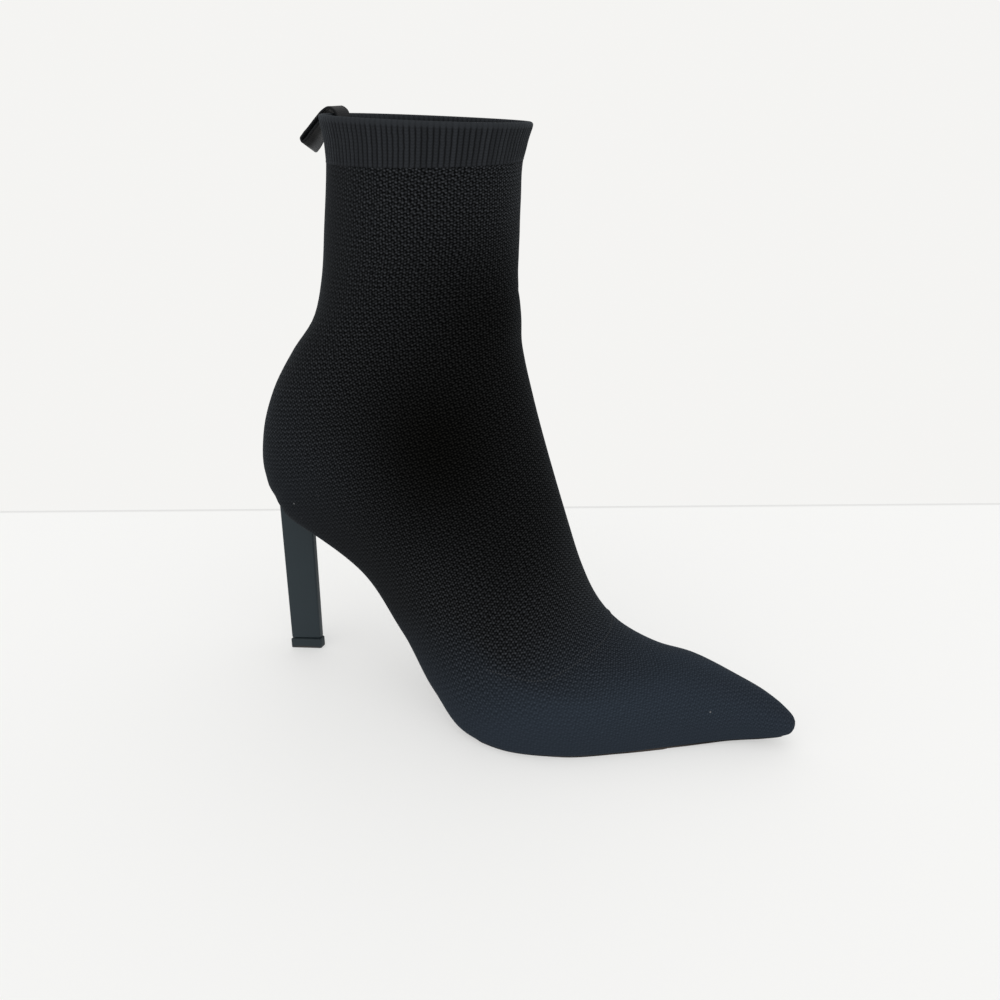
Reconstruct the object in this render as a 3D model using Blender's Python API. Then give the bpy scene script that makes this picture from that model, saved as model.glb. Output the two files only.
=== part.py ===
"""Knit ankle boot for the right foot on a slim high heel.

Six pieces stand apart by a small seam: a hollow knit upper, an insole, a thin
outsole, a heel, its top lift and a ribbon pull loop. Sizes are in millimetres,
X runs from heel to toe, Y to the wearer's left (the inner side) and Z up.
"""

import math

import bmesh
import bpy
import numpy as np

MM = 0.001
SEAM = 0.3                       # clearance between neighbouring pieces
PLAN_CENTRE = (118.28, -5.11)    # middle of the boot's plan box, placed on the world origin

# Knit upper
WALL = 1.6                       # knit wall
CUFF_STEP = 0.5                  # extra thickness of the ribbed cuff
CUFF_RAMP = 1.5                  # length over which the cuff thickens
COLLAR_TILT = 0.026              # how much higher the collar's outer side ends, per millimetre of width
WRAP = 1.2                       # least width that the knit turns in under the last
ARC_COLUMNS = 36                 # faces round one section, from one lower edge over the top to the other
STRIP_COLUMNS = 2                # faces across the turned-in underside on either side
COLUMNS = ARC_COLUMNS + 2 * STRIP_COLUMNS
EDGE_CLOSER = 0.20               # how much closer the faces lie at the section's bottom than its top
SIDE_WIDER = 0.30                # how much wider they are on the plain sides
ROW_SPACING = 10.0               # widest distance between two modelled sections
CLOSE_SPANS = (0, 1, 2, 14, 15)  # table spans at toe and seat end that bend fast, cut in two

# Sole pieces
OUTSOLE_THICK = 2.5
OUTSOLE_TOE_THICK = 1.5          # at its front end
OUTSOLE_TAPER = 26.0             # length over which it thins toward the toe
OUTSOLE_LAP = 3.0                # outsole reach past the edge of the upper's underside opening
OUTSOLE_BEVEL = 0.5              # how far its lower edge draws in
TREAD_PRESS = 0.35               # height below which the tread is pressed flat on the floor
INSOLE_THICK = 2.3
INSOLE_CLEAR = 1.1               # side clearance inside the opening
INSOLE_END = 7.0                 # opening half width where the insole's ends are rounded off
PLATE_STEPS = 46                 # stations along a sole plate
PLATE_COLUMNS = 4                # faces across a sole plate

# Heel column and top lift, in plan a wedge with its wide side at the back
HEEL_BACK_X = -0.4
HEEL_DEPTH_TOP = 13.9
HEEL_DEPTH_LOW = 13.2
HEEL_BACK_WIDTH = 13.0
HEEL_FRONT_WIDTH = 3.2
HEEL_CORNER = 0.9
HEEL_CUP = 3.0                   # how far its back rises behind the end of the outsole
LIFT_THICK = 5.2
LIFT_PROUD = 0.35

# Pull loop
LOOP_WIDTH = 10.0
LOOP_THICK = 0.9
LOOP_STEPS = 36
LOOP_DROOP = 0.48                # how much lower its inner edge hangs at the fold, per millimetre of width
LOOP_FALL = 13.7                 # length in X over which it comes to hang so

# Sections of the last, from the toe tip to the collar. Every section is a plane across
# the boot that runs from a low or rear point to a high or front point of the outline.
#   x_low z_low    that low or rear point
#   x_high z_high  that high or front point
#   out in         half widths on the outer and the inner side
#   rise           height of the widest place, as a share of the section's length
#   flat_out flat_in  half widths of the flat underside, within which the opening lies
#   mid            sideways place of the section's middle
#   crown under    fullness of the arcs above and below the widest place
SECTION_COLUMNS = ("x_low", "z_low", "x_high", "z_high", "out", "in", "rise",
                   "flat_out", "flat_in", "mid", "crown", "under")
SECTIONS = (
    (238.0,   9.2, 238.0,  12.0,  0.4,  0.4, 0.50,  0.1,  0.1, 8.0, 2.00, 2.00),   # toe tip
    (237.0,   7.4, 236.8,  13.9,  3.3,  3.0, 0.45,  0.9,  0.9, 8.0, 2.00, 2.00),   # toe front
    (233.0,   6.1, 232.4,  17.8,  5.0,  5.4, 0.44,  2.0,  2.6, 7.9, 2.00, 2.00),   # toe
    (226.0,   5.1, 225.0,  22.2,  6.7,  8.6, 0.42,  3.5,  5.4, 7.6, 2.00, 2.00),   # toe back
    (212.0,   4.2, 210.5,  27.4, 11.2, 14.4, 0.39,  7.9, 11.1, 6.8, 2.00, 2.00),   # toe box
    (194.0,   3.3, 191.3,  32.8, 20.0, 21.6, 0.34, 16.7, 18.3, 5.4, 2.00, 2.10),   # vamp
    (172.0,   2.8, 174.6,  33.5, 31.8, 28.8, 0.28, 28.5, 25.5, 3.6, 2.00, 2.20),   # ball front
    (150.0,   2.8, 160.7,  39.2, 41.9, 33.2, 0.24, 38.6, 29.8, 2.0, 2.00, 2.20),   # ball
    (128.0,   2.8, 150.2,  51.7, 46.3, 34.0, 0.22, 42.3, 30.0, 0.8, 2.00, 2.20),   # ball back
    (108.0,   4.2, 143.1,  68.3, 44.9, 32.2, 0.24, 38.0, 26.0, 0.4, 2.00, 2.10),   # waist front
    ( 89.9,  13.6, 136.3,  89.6, 39.1, 30.8, 0.28, 27.1, 21.0, 0.2, 2.00, 2.00),   # waist
    ( 72.3,  34.7, 128.8, 113.6, 34.4, 30.2, 0.31, 20.2, 18.0, 0.1, 2.00, 2.00),   # arch
    ( 53.9,  59.7, 120.5, 141.0, 32.8, 30.6, 0.33, 19.5, 18.2, 0.0, 2.10, 2.10),   # breast
    ( 33.7,  74.0, 115.6, 160.9, 32.6, 31.6, 0.35, 21.2, 20.5, 0.0, 2.20, 2.35),   # seat
    ( 15.2,  81.7, 114.9, 174.0, 32.1, 32.0, 0.36, 18.6, 18.6, 0.0, 2.20, 2.55),   # seat back
    (  8.9,  84.7, 114.4, 178.9, 31.8, 32.0, 0.37, 15.5, 15.5, 0.0, 2.20, 2.52),   # seat end
    (  6.0,  86.1, 114.2, 180.9, 31.8, 32.0, 0.37, 11.5, 11.5, 0.0, 2.20, 2.50),   # heel edge
    (  2.4,  88.6, 113.9, 182.9, 31.9, 32.0, 0.37,  8.0,  8.0, 0.0, 2.20, 2.50),   # heel base
    ( -0.7,  95.5, 113.9, 185.2, 32.0, 32.0, 0.38,  5.0,  5.0, 0.0, 2.20, 2.50),   # heel bulge
    ( -0.3, 113.0, 113.7, 190.0, 32.0, 32.0, 0.39,  3.5,  3.5, 0.0, 2.20, 2.50),   # heel top
    (  6.7, 134.1, 113.7, 194.8, 32.2, 32.2, 0.41,  3.0,  3.0, 0.0, 2.20, 2.45),   # counter
    ( 18.4, 153.6, 113.7, 199.0, 32.5, 32.5, 0.44,  3.0,  3.0, 0.0, 2.15, 2.32),   # tendon low
    ( 28.9, 167.9, 113.7, 203.3, 32.8, 32.8, 0.47,  3.0,  3.0, 0.0, 2.10, 2.20),   # tendon
    ( 33.6, 183.8, 113.6, 208.6, 33.0, 33.0, 0.49,  3.0,  3.0, 0.0, 2.10, 2.10),   # ankle
    ( 36.9, 206.2, 113.8, 217.5, 33.2, 33.2, 0.50,  3.0,  3.0, 0.0, 2.10, 2.10),   # shaft
    ( 39.6, 228.0, 114.3, 229.5, 33.4, 33.4, 0.50,  3.0,  3.0, 0.0, 2.10, 2.10),   # cuff base
    ( 40.1, 237.0, 115.6, 237.0, 33.8, 33.8, 0.50,  3.0,  3.0, 0.0, 2.10, 2.10),   # cuff
    ( 38.1, 246.5, 118.1, 244.3, 34.8, 34.8, 0.50,  3.0,  3.0, 0.0, 2.10, 2.10),   # collar
)
CUFF_ROW = 25                    # the row named cuff base
OPENING_ROWS = (2, 16)           # the underside opening runs from toe to heel edge
OPENING_ROUND = (10.0, 11.0)     # lengths of its rounded ends

# Outer edge of the pull loop, from its seat inside the collar, over the rim to its fold and back
LOOP_COLUMNS = ("x", "z")
LOOP_RIM = 4                     # the point over the rim
LOOP_PATH = (
    (42.4, 231.5), (42.5, 238.0), (42.0, 244.0), (40.9, 247.5), (38.6, 248.8), (35.6, 247.6),
    (32.9, 245.3), (28.6, 241.2), (26.0, 238.8), (24.9, 237.3), (25.5, 236.3), (26.9, 237.0),
    (29.8, 239.8), (33.5, 243.2), (36.3, 245.3),
)

# Piece, material colour and roughness
FINISHES = {
    "upper": ((0.012, 0.013, 0.016), 0.85),
    "insole": ((0.020, 0.019, 0.018), 0.70),
    "outsole": ((0.016, 0.014, 0.013), 0.55),
    "heel": ((0.028, 0.034, 0.040), 0.42),
    "top_lift": ((0.022, 0.025, 0.029), 0.55),
    "pull_loop": ((0.016, 0.017, 0.020), 0.45),
}


def clear_scene():
    """Take out everything that a new file holds."""
    for item in list(bpy.data.objects):
        bpy.data.objects.remove(item, do_unlink=True)
    for group in list(bpy.data.collections):
        bpy.data.collections.remove(group)


def through(knots, values, where, smooth):
    """Cubic curve through the rows; smooth slopes for outlines, limited ones for widths."""
    values = np.asarray(values, float)
    step = np.diff(knots)[:, None]
    rate = np.diff(values, axis=0) / step
    slope = np.zeros_like(values)
    if smooth:
        slope[1:-1] = (rate[:-1] * step[1:] + rate[1:] * step[:-1]) / (step[:-1] + step[1:])
    else:
        near = 2 * step[1:] + step[:-1]
        far = step[1:] + 2 * step[:-1]
        same = rate[:-1] * rate[1:] > 1e-12
        low = np.where(same, rate[:-1], 1.0)
        high = np.where(same, rate[1:], 1.0)
        slope[1:-1] = np.where(same, (near + far) / (near / low + far / high), 0.0)
    slope[0] = rate[0]
    slope[-1] = rate[-1]
    span = np.clip(np.searchsorted(knots, where, side="right") - 1, 0, len(knots) - 2)
    t = ((where - knots[span]) / (knots[span + 1] - knots[span]))[:, None]
    reach = step[span]
    start = (2 * t**3 - 3 * t**2 + 1) * values[span] + (t**3 - 2 * t**2 + t) * reach * slope[span]
    end = (3 * t**2 - 2 * t**3) * values[span + 1] + (t**3 - t**2) * reach * slope[span + 1]
    return start + end


class Last:
    """The shape of the boot as a function of the place along it."""

    def __init__(self):
        self.rows = np.array(SECTIONS)
        low = np.linalg.norm(np.diff(self.rows[:, 0:2], axis=0), axis=1)
        high = np.linalg.norm(np.diff(self.rows[:, 2:4], axis=0), axis=1)
        self.knots = np.concatenate([[0.0], np.cumsum(0.5 * (low + high))])
        self.ends = self.knots[list(OPENING_ROWS)] + np.array([WRAP, -WRAP])

    def at(self, where):
        """Values of every column at the given places."""
        outline = through(self.knots, self.rows[:, :4], where, smooth=True)
        rest = through(self.knots, self.rows[:, 4:], where, smooth=False)
        value = dict(zip(SECTION_COLUMNS, np.concatenate([outline, rest], axis=1).T))
        cuff = self.knots[CUFF_ROW]
        value["tilt"] = COLLAR_TILT * np.clip((where - cuff) / (self.knots[-1] - cuff), 0.0, 1.0)**2
        for side in ("out", "in"):
            value["gap_" + side] = np.maximum(value["flat_" + side] - WRAP, 0.0) * self.rounding(where)
        return value

    def rounding(self, where):
        """Share of the flat underside that is open, which falls to 0 in a round at both ends."""
        start = np.clip((where - self.ends[0]) / OPENING_ROUND[0], 0.0, 1.0)
        end = np.clip((self.ends[1] - where) / OPENING_ROUND[1], 0.0, 1.0)
        return np.sqrt((1.0 - (1.0 - start)**2) * (1.0 - (1.0 - end)**2))

    def places(self):
        """Places of the modelled sections, closest where the toe and heel curve most."""
        out = []
        for number, (start, end) in enumerate(zip(self.knots[:-1], self.knots[1:])):
            count = max(1, math.ceil((end - start) / ROW_SPACING))
            count = max(2, count) if number in CLOSE_SPANS else count
            out.extend(np.linspace(start, end, count, endpoint=False))
        cuff = self.knots[CUFF_ROW]
        out.extend([self.knots[-1], cuff + CUFF_RAMP, *self.ends])
        return np.array(sorted(out))

    def section_points(self, value):
        """Points of one section, from the outer edge over the top to the inner edge."""
        turn = np.linspace(0.0, math.pi / 2, 28)
        halves = []
        strips = []
        for side, end in ((-1, "out"), (1, "in")):
            width, flat, gap = (value[name + end] for name in ("", "flat_", "gap_"))
            under = 2.0 / value["under"]
            crown = 2.0 / value["crown"]
            low_y = flat + (width - flat) * np.sin(turn)**under
            low_u = value["rise"] * (1.0 - np.cos(turn)**under)
            top_y = width * np.abs(np.cos(turn))**crown
            top_u = value["rise"] + (1.0 - value["rise"]) * np.sin(turn)**crown
            across = side * np.concatenate([low_y, top_y[1:]]) + value["mid"]
            halves.append((across, np.concatenate([low_u, top_u[1:]])))
            turned_in = np.linspace(gap, flat, STRIP_COLUMNS, endpoint=False) * side + value["mid"]
            strips.append([(value["x_low"], y, value["z_low"] - value["tilt"] * (y - value["mid"]))
                           for y in turned_in])
        across = np.concatenate([halves[0][0], halves[1][0][::-1][1:]])
        share = np.concatenate([halves[0][1], halves[1][1][::-1][1:]])
        points = np.stack([
            value["x_low"] + (value["x_high"] - value["x_low"]) * share,
            across,
            value["z_low"] + (value["z_high"] - value["z_low"]) * share
            - value["tilt"] * (across - value["mid"]),
        ], axis=1)
        run = np.concatenate([[0.0], np.cumsum(np.linalg.norm(np.diff(points, axis=0), axis=1))])
        t = np.linspace(0.0, 1.0, ARC_COLUMNS + 1)
        closer = EDGE_CLOSER * np.sin(2 * math.pi * t) / (2 * math.pi)
        wider = SIDE_WIDER * np.sin(4 * math.pi * t) / (4 * math.pi)
        spots = run[-1] * (t - closer - wider)
        arc = np.stack([np.interp(spots, run, points[:, k]) for k in range(3)], axis=1)
        return np.concatenate([strips[0], arc, strips[1][::-1]])

    def surface(self, places):
        """Grid of points of the knit's outer face, without the cuff's extra thickness."""
        value = self.at(places)
        rows = [{name: column[i] for name, column in value.items()} for i in range(len(places))]
        return np.array([self.section_points(row) for row in rows])

    def opening(self, steps):
        """Underside opening: distance along the bottom, outer and inner edge, and bottom line."""
        places = np.linspace(*self.ends, steps)
        value = self.at(places)
        line = np.stack([value["x_low"], value["z_low"]], axis=1)
        run = np.concatenate([[0.0], np.cumsum(np.linalg.norm(np.diff(line, axis=0), axis=1))])
        outer = value["mid"] - value["gap_out"]
        inner = value["mid"] + value["gap_in"]
        return run, outer, inner, line


def unit(vectors):
    """Vectors scaled to length one."""
    return vectors / np.maximum(np.linalg.norm(vectors, axis=-1, keepdims=True), 1e-9)


def outward(grid, closed):
    """Outward directions of a grid of sections; closed rows wrap round."""
    along = np.gradient(grid, axis=0)
    round_it = np.gradient(grid, axis=1)
    wrap = 0.5 * (grid[:, 1] - grid[:, -2])
    round_it[closed, 0] = wrap[closed]
    round_it[closed, -1] = wrap[closed]
    direction = unit(np.cross(round_it, along))
    direction[0] = (1.0, 0.0, 0.0)
    return direction


def finish_material(name):
    """Plain material of one piece."""
    colour, rough = FINISHES[name]
    material = bpy.data.materials.new(name + "_finish")
    material.use_nodes = True
    shader = material.node_tree.nodes["Principled BSDF"]
    shader.inputs["Base Color"].default_value = (*colour, 1.0)
    shader.inputs["Roughness"].default_value = rough
    return material


def add_piece(name, bm, collection):
    """Turn a mesh in millimetres into a named object in the boot's collection."""
    bmesh.ops.recalc_face_normals(bm, faces=bm.faces)
    bmesh.ops.translate(bm, verts=bm.verts, vec=(-PLAN_CENTRE[0], -PLAN_CENTRE[1], 0.0))
    bmesh.ops.scale(bm, verts=bm.verts, vec=(MM, MM, MM))
    mesh = bpy.data.meshes.new(name)
    bm.to_mesh(mesh)
    bm.free()
    mesh.materials.append(finish_material(name))
    piece = bpy.data.objects.new(name, mesh)
    collection.objects.link(piece)
    return piece


def knit_upper(last, collection):
    """Hollow upper: two skins of the last, joined at the collar and round the underside opening."""
    places = last.places()
    base = last.surface(places)
    value = last.at(places)
    first, end = last.ends
    closed = ~((places > first + 1e-6) & (places < end - 1e-6))
    direction = outward(base, closed)
    axis = np.stack([value["x_low"] - value["x_high"], 0.0 * value["mid"],
                     value["z_low"] - value["z_high"]], axis=1)
    direction[~closed, 0] = unit(axis)[~closed]
    direction[~closed, -1] = unit(axis)[~closed]
    cuff = np.clip((places - last.knots[CUFF_ROW]) / CUFF_RAMP, 0.0, 1.0) * CUFF_STEP
    skins = (base + direction * cuff[:, None, None], base - direction * WALL)

    bm = bmesh.new()
    nets = []
    for skin in skins:
        tip = bm.verts.new((skin[0].mean(axis=0)))
        net = [[tip] * (COLUMNS + 1)]
        for row, shut in zip(skin[1:], closed[1:]):
            ring = [bm.verts.new(point) for point in (row[:-1] if shut else row)]
            net.append(ring + [ring[0]] if shut else ring)
        nets.append(net)
    count = len(value["mid"])
    for net, flip in zip(nets, (False, True)):
        for i in range(count - 1):
            for j in range(COLUMNS):
                face = [net[i][j], net[i][j + 1], net[i + 1][j + 1], net[i + 1][j]]
                face = face[1:] if i == 0 else face
                bm.faces.new(face[::-1] if flip else face)
    outer, inner = nets
    for j in range(COLUMNS):
        bm.faces.new([outer[-1][j], outer[-1][j + 1], inner[-1][j + 1], inner[-1][j]])
    for i in range(count - 1):
        if closed[i] and closed[i + 1]:
            continue
        bm.faces.new([outer[i][0], outer[i + 1][0], inner[i + 1][0], inner[i][0]])
        bm.faces.new([outer[i + 1][-1], outer[i][-1], inner[i][-1], inner[i + 1][-1]])
    return add_piece("upper", bm, collection)


class Bottom:
    """The bottom line of the boot, unrolled, with straight runs past its two ends."""

    def __init__(self, last):
        self.run, self.outer, self.inner, self.line = last.opening(PLATE_STEPS)
        self.up = self.raised()

    def raised(self):
        """Directions square to the bottom line, toward the foot."""
        tangent = unit(np.gradient(self.line, axis=0))
        return np.stack([tangent[:, 1], -tangent[:, 0]], axis=1)

    def point(self, run, height):
        """Point at a distance along the bottom line and a height over it, as X and Z."""
        inside = np.clip(run, self.run[0], self.run[-1])
        spot = np.array([np.interp(inside, self.run, self.line[:, k]) for k in range(2)])
        up = np.array([np.interp(inside, self.run, self.up[:, k]) for k in range(2)])
        return spot + (run - inside) * np.array([-up[1], up[0]]) + height * up

    def edges(self, offset, least):
        """Outer and inner edge of a plate, moved out by an offset from the opening's edge."""
        keep = 0.5 * (self.inner - self.outer) >= least
        sides = []
        for across, side in ((self.outer, -1.0), (self.inner, 1.0)):
            path = np.stack([self.run, across], axis=1)
            tangent = unit(np.gradient(path, axis=0))
            away = side * np.stack([-tangent[:, 1], tangent[:, 0]], axis=1)
            sides.append((path + offset * away)[keep])
        return sides


def sole_plate(name, bottom, levels, least, collection):
    """Closed plate on the bottom line; levels give each face's height, toe height and edge offset."""
    bm = bmesh.new()
    nets = []
    for height, toe_height, offset in levels:
        outer, inner = bottom.edges(offset, least)
        net = []
        for a, b in zip(outer, inner):
            row = []
            for share in np.linspace(0.0, 1.0, PLATE_COLUMNS + 1):
                run, across = a + (b - a) * share
                toe_share = np.clip(1.0 - run / OUTSOLE_TAPER, 0.0, 1.0)
                x, z = bottom.point(run, height + (toe_height - height) * toe_share)
                z = 0.0 if z < TREAD_PRESS else z
                row.append(bm.verts.new((x, across, z)))
            net.append(row)
        nets.append(net)
    low, high = nets
    count = len(low)
    for i in range(count - 1):
        for j in range(PLATE_COLUMNS):
            bm.faces.new([low[i][j], low[i][j + 1], low[i + 1][j + 1], low[i + 1][j]])
            bm.faces.new([high[i + 1][j], high[i + 1][j + 1], high[i][j + 1], high[i][j]])
        for j in (0, PLATE_COLUMNS):
            bm.faces.new([low[i][j], low[i + 1][j], high[i + 1][j], high[i][j]])
    for i in (0, count - 1):
        for j in range(PLATE_COLUMNS):
            bm.faces.new([low[i][j], low[i][j + 1], high[i][j + 1], high[i][j]])
    return add_piece(name, bm, collection)


def wedge_outline(depth, grow):
    """Plan of the heel: a wedge with rounded corners, grown by a margin all round."""
    back = HEEL_BACK_X - grow
    front = HEEL_BACK_X + depth + grow
    wide = HEEL_BACK_WIDTH / 2 + grow
    slim = HEEL_FRONT_WIDTH / 2 + grow
    corners = [(back, -wide), (front, -slim), (front, slim), (back, wide)]
    outline = []
    for number, corner in enumerate(corners):
        here = np.array(corner)
        before = unit(np.array(corners[number - 1]) - here)
        after = unit(np.array(corners[(number + 1) % 4]) - here)
        for share in (0.0, 0.5, 1.0):
            start = here + before * HEEL_CORNER
            end = here + after * HEEL_CORNER
            bend = (1 - share)**2 * start + 2 * share * (1 - share) * here + share**2 * end
            outline.append(bend)
    return outline


def prism(name, low, high, collection):
    """Closed solid between two rings of equal count."""
    bm = bmesh.new()
    rings = [[bm.verts.new(point) for point in ring] for ring in (low, high)]
    count = len(low)
    for i in range(count):
        after = (i + 1) % count
        bm.faces.new([rings[0][i], rings[0][after], rings[1][after], rings[1][i]])
    bm.faces.new(rings[0][::-1])
    bm.faces.new(rings[1])
    return add_piece(name, bm, collection)


def stepped_prism(name, low, high, step, collection):
    """Closed solid whose top steps up behind a line across it.

    low and high are rings that start with the three points of the outer back corner and end with those
    of the inner one; step holds the low, seat and raised point of the line on the outer and inner side.
    """
    bm = bmesh.new()
    low, high = ([bm.verts.new(point) for point in ring] for ring in (low, high))
    outer, inner = ([bm.verts.new(point) for point in side] for side in step)
    front = range(3, len(low) - 3)
    for i, after in [(0, 1), (1, 2), *zip(front[:-1], front[1:]), (-3, -2), (-2, -1), (-1, 0)]:
        bm.faces.new([low[i], low[after], high[after], high[i]])
    bm.faces.new([low[2], outer[0], outer[1], outer[2], high[2]])
    bm.faces.new([outer[0], low[3], high[3], outer[1]])
    bm.faces.new([low[-4], inner[0], inner[1], high[-4]])
    bm.faces.new([inner[0], low[-3], high[-3], inner[2], inner[1]])
    bm.faces.new([outer[1], inner[1], inner[2], outer[2]])
    bm.faces.new([outer[1], *[high[i] for i in front], inner[1]])
    bm.faces.new([*high[:3], outer[2], inner[2], *high[-3:]])
    bm.faces.new([*low[:3], outer[0], *[low[i] for i in front], inner[0], *low[-3:]][::-1])
    return add_piece(name, bm, collection)


def heel_and_lift(bottom, collection):
    """Heel column cut to the slope of the seat, raised behind the outsole, and the top lift under it."""
    under = -(SEAM + OUTSOLE_THICK + SEAM)
    runs = np.linspace(bottom.run[-1] - 30.0, bottom.run[-1] + 12.0, 60)
    seat = np.array([bottom.point(run, under) for run in runs])
    order = np.argsort(seat[:, 0])
    seat = seat[order]
    ends = [bottom.point(bottom.run[-1] + OUTSOLE_LAP, height)[0] for height in (-SEAM, under)]
    edge = min(ends) - SEAM
    low_z = LIFT_THICK + SEAM
    low = [(x, y, low_z) for x, y in wedge_outline(HEEL_DEPTH_LOW, 0.0)]
    high = [(x, y, float(np.interp(x, seat[:, 0], seat[:, 1])) + (HEEL_CUP if x < edge else 0.0))
            for x, y in wedge_outline(HEEL_DEPTH_TOP, 0.0)]
    level = float(np.interp(edge, seat[:, 0], seat[:, 1]))
    share = (edge - HEEL_BACK_X) / HEEL_DEPTH_TOP
    half = HEEL_BACK_WIDTH / 2 + (HEEL_FRONT_WIDTH - HEEL_BACK_WIDTH) / 2 * share
    edge_low = HEEL_BACK_X + share * HEEL_DEPTH_LOW
    step = [[(edge_low, y, low_z), (edge, y, level), (edge, y, level + HEEL_CUP)] for y in (-half, half)]
    stepped_prism("heel", low, high, step, collection)
    plan = wedge_outline(HEEL_DEPTH_LOW, LIFT_PROUD)
    prism("top_lift", [(x, y, 0.0) for x, y in plan], [(x, y, LIFT_THICK) for x, y in plan], collection)


def pull_loop(collection):
    """Ribbon that starts inside the collar, goes over the rim and folds back to its outside."""
    path = np.array(LOOP_PATH)
    knots = np.concatenate([[0.0], np.cumsum(np.linalg.norm(np.diff(path, axis=0), axis=1))])
    line = through(knots, path, np.linspace(0.0, knots[-1], LOOP_STEPS), smooth=True)
    tangent = unit(np.gradient(line, axis=0))
    side = np.stack([tangent[:, 1], -tangent[:, 0]], axis=1) * LOOP_THICK / 2
    away = np.clip((LOOP_PATH[LOOP_RIM][0] - line[:, 0]) / LOOP_FALL, 0.0, 1.0)
    bm = bmesh.new()
    rings = []
    for spot, lift, share in zip(line, side, away):
        ring = []
        for sign, across in ((1, -1), (1, 1), (-1, 1), (-1, -1)):
            x, z = spot + sign * lift
            y = across * LOOP_WIDTH / 2
            ring.append(bm.verts.new((x, y, z - LOOP_DROOP * share * (y + LOOP_WIDTH / 2))))
        rings.append(ring)
    for here, there in zip(rings[:-1], rings[1:]):
        for k in range(4):
            after = (k + 1) % 4
            bm.faces.new([here[k], here[after], there[after], there[k]])
    bm.faces.new(rings[0][::-1])
    bm.faces.new(rings[-1])
    return add_piece("pull_loop", bm, collection)


def build():
    """Make the six pieces of the boot."""
    clear_scene()
    collection = bpy.data.collections.new("knit_ankle_boot")
    bpy.context.scene.collection.children.link(collection)
    last = Last()
    bottom = Bottom(last)
    knit_upper(last, collection)
    sole_plate("insole", bottom, ((0.0, 0.0, -INSOLE_CLEAR), (INSOLE_THICK, INSOLE_THICK, -INSOLE_CLEAR)),
               INSOLE_END, collection)
    under, toe_under = -SEAM - OUTSOLE_THICK, -SEAM - OUTSOLE_TOE_THICK
    sole_plate("outsole", bottom, ((under, toe_under, OUTSOLE_LAP - OUTSOLE_BEVEL),
                                   (-SEAM, -SEAM, OUTSOLE_LAP)), 0.0, collection)
    heel_and_lift(bottom, collection)
    pull_loop(collection)


build()
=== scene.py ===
"""Looks of a knit ankle boot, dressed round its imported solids.

The tables are in millimetres on the maker's drawing, where X runs from heel to toe, Y toward the
wearer's left and Z up. A mesh is moved to the part's own frame, in metres, when it is made.
"""

import logging
import math
from contextlib import contextmanager
from dataclasses import dataclass, field
from enum import Enum
from typing import Iterator, NamedTuple, Optional, Sequence, Union

import bpy
import numpy as np
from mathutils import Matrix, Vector


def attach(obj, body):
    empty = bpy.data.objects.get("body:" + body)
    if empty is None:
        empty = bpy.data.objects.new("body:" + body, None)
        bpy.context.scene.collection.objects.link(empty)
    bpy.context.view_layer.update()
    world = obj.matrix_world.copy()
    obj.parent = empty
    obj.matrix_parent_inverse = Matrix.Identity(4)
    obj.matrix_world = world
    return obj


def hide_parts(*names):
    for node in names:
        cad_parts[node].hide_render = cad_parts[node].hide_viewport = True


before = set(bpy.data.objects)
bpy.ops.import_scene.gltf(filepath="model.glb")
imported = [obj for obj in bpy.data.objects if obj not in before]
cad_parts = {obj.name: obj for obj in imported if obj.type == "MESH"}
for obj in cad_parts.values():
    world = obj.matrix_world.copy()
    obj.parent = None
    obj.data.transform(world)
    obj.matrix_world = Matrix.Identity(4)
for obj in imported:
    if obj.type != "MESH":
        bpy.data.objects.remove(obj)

LOG = logging.getLogger("knit_ankle_boot")
MM = 0.001
PLAN_CENTRE = np.array([118.28, -5.11, 0.0])   # drawing point that lies on the part's origin
BODY = "root"

Socket = bpy.types.NodeSocket
Value = Union[Socket, float, Sequence[float]]
Colour = tuple[float, float, float]
Place = tuple[float, float, float]


class Side(Enum):
    """The two sides of the foot, as the sign of Y on the drawing."""

    OUTER = -1
    INNER = 1


class Section(NamedTuple):
    """One section of the last, a plane across the boot from a low or rear point to a high or front one."""

    x_low: float
    z_low: float
    x_high: float
    z_high: float
    out: float        # half widths on the outer and the inner side
    inn: float
    rise: float       # height of the widest place, as a share of the section's length
    flat_out: float   # half widths of the flat underside
    flat_inn: float
    mid: float        # sideways place of the section's middle
    crown: float      # fullness of the arcs above and below the widest place
    under: float


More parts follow.
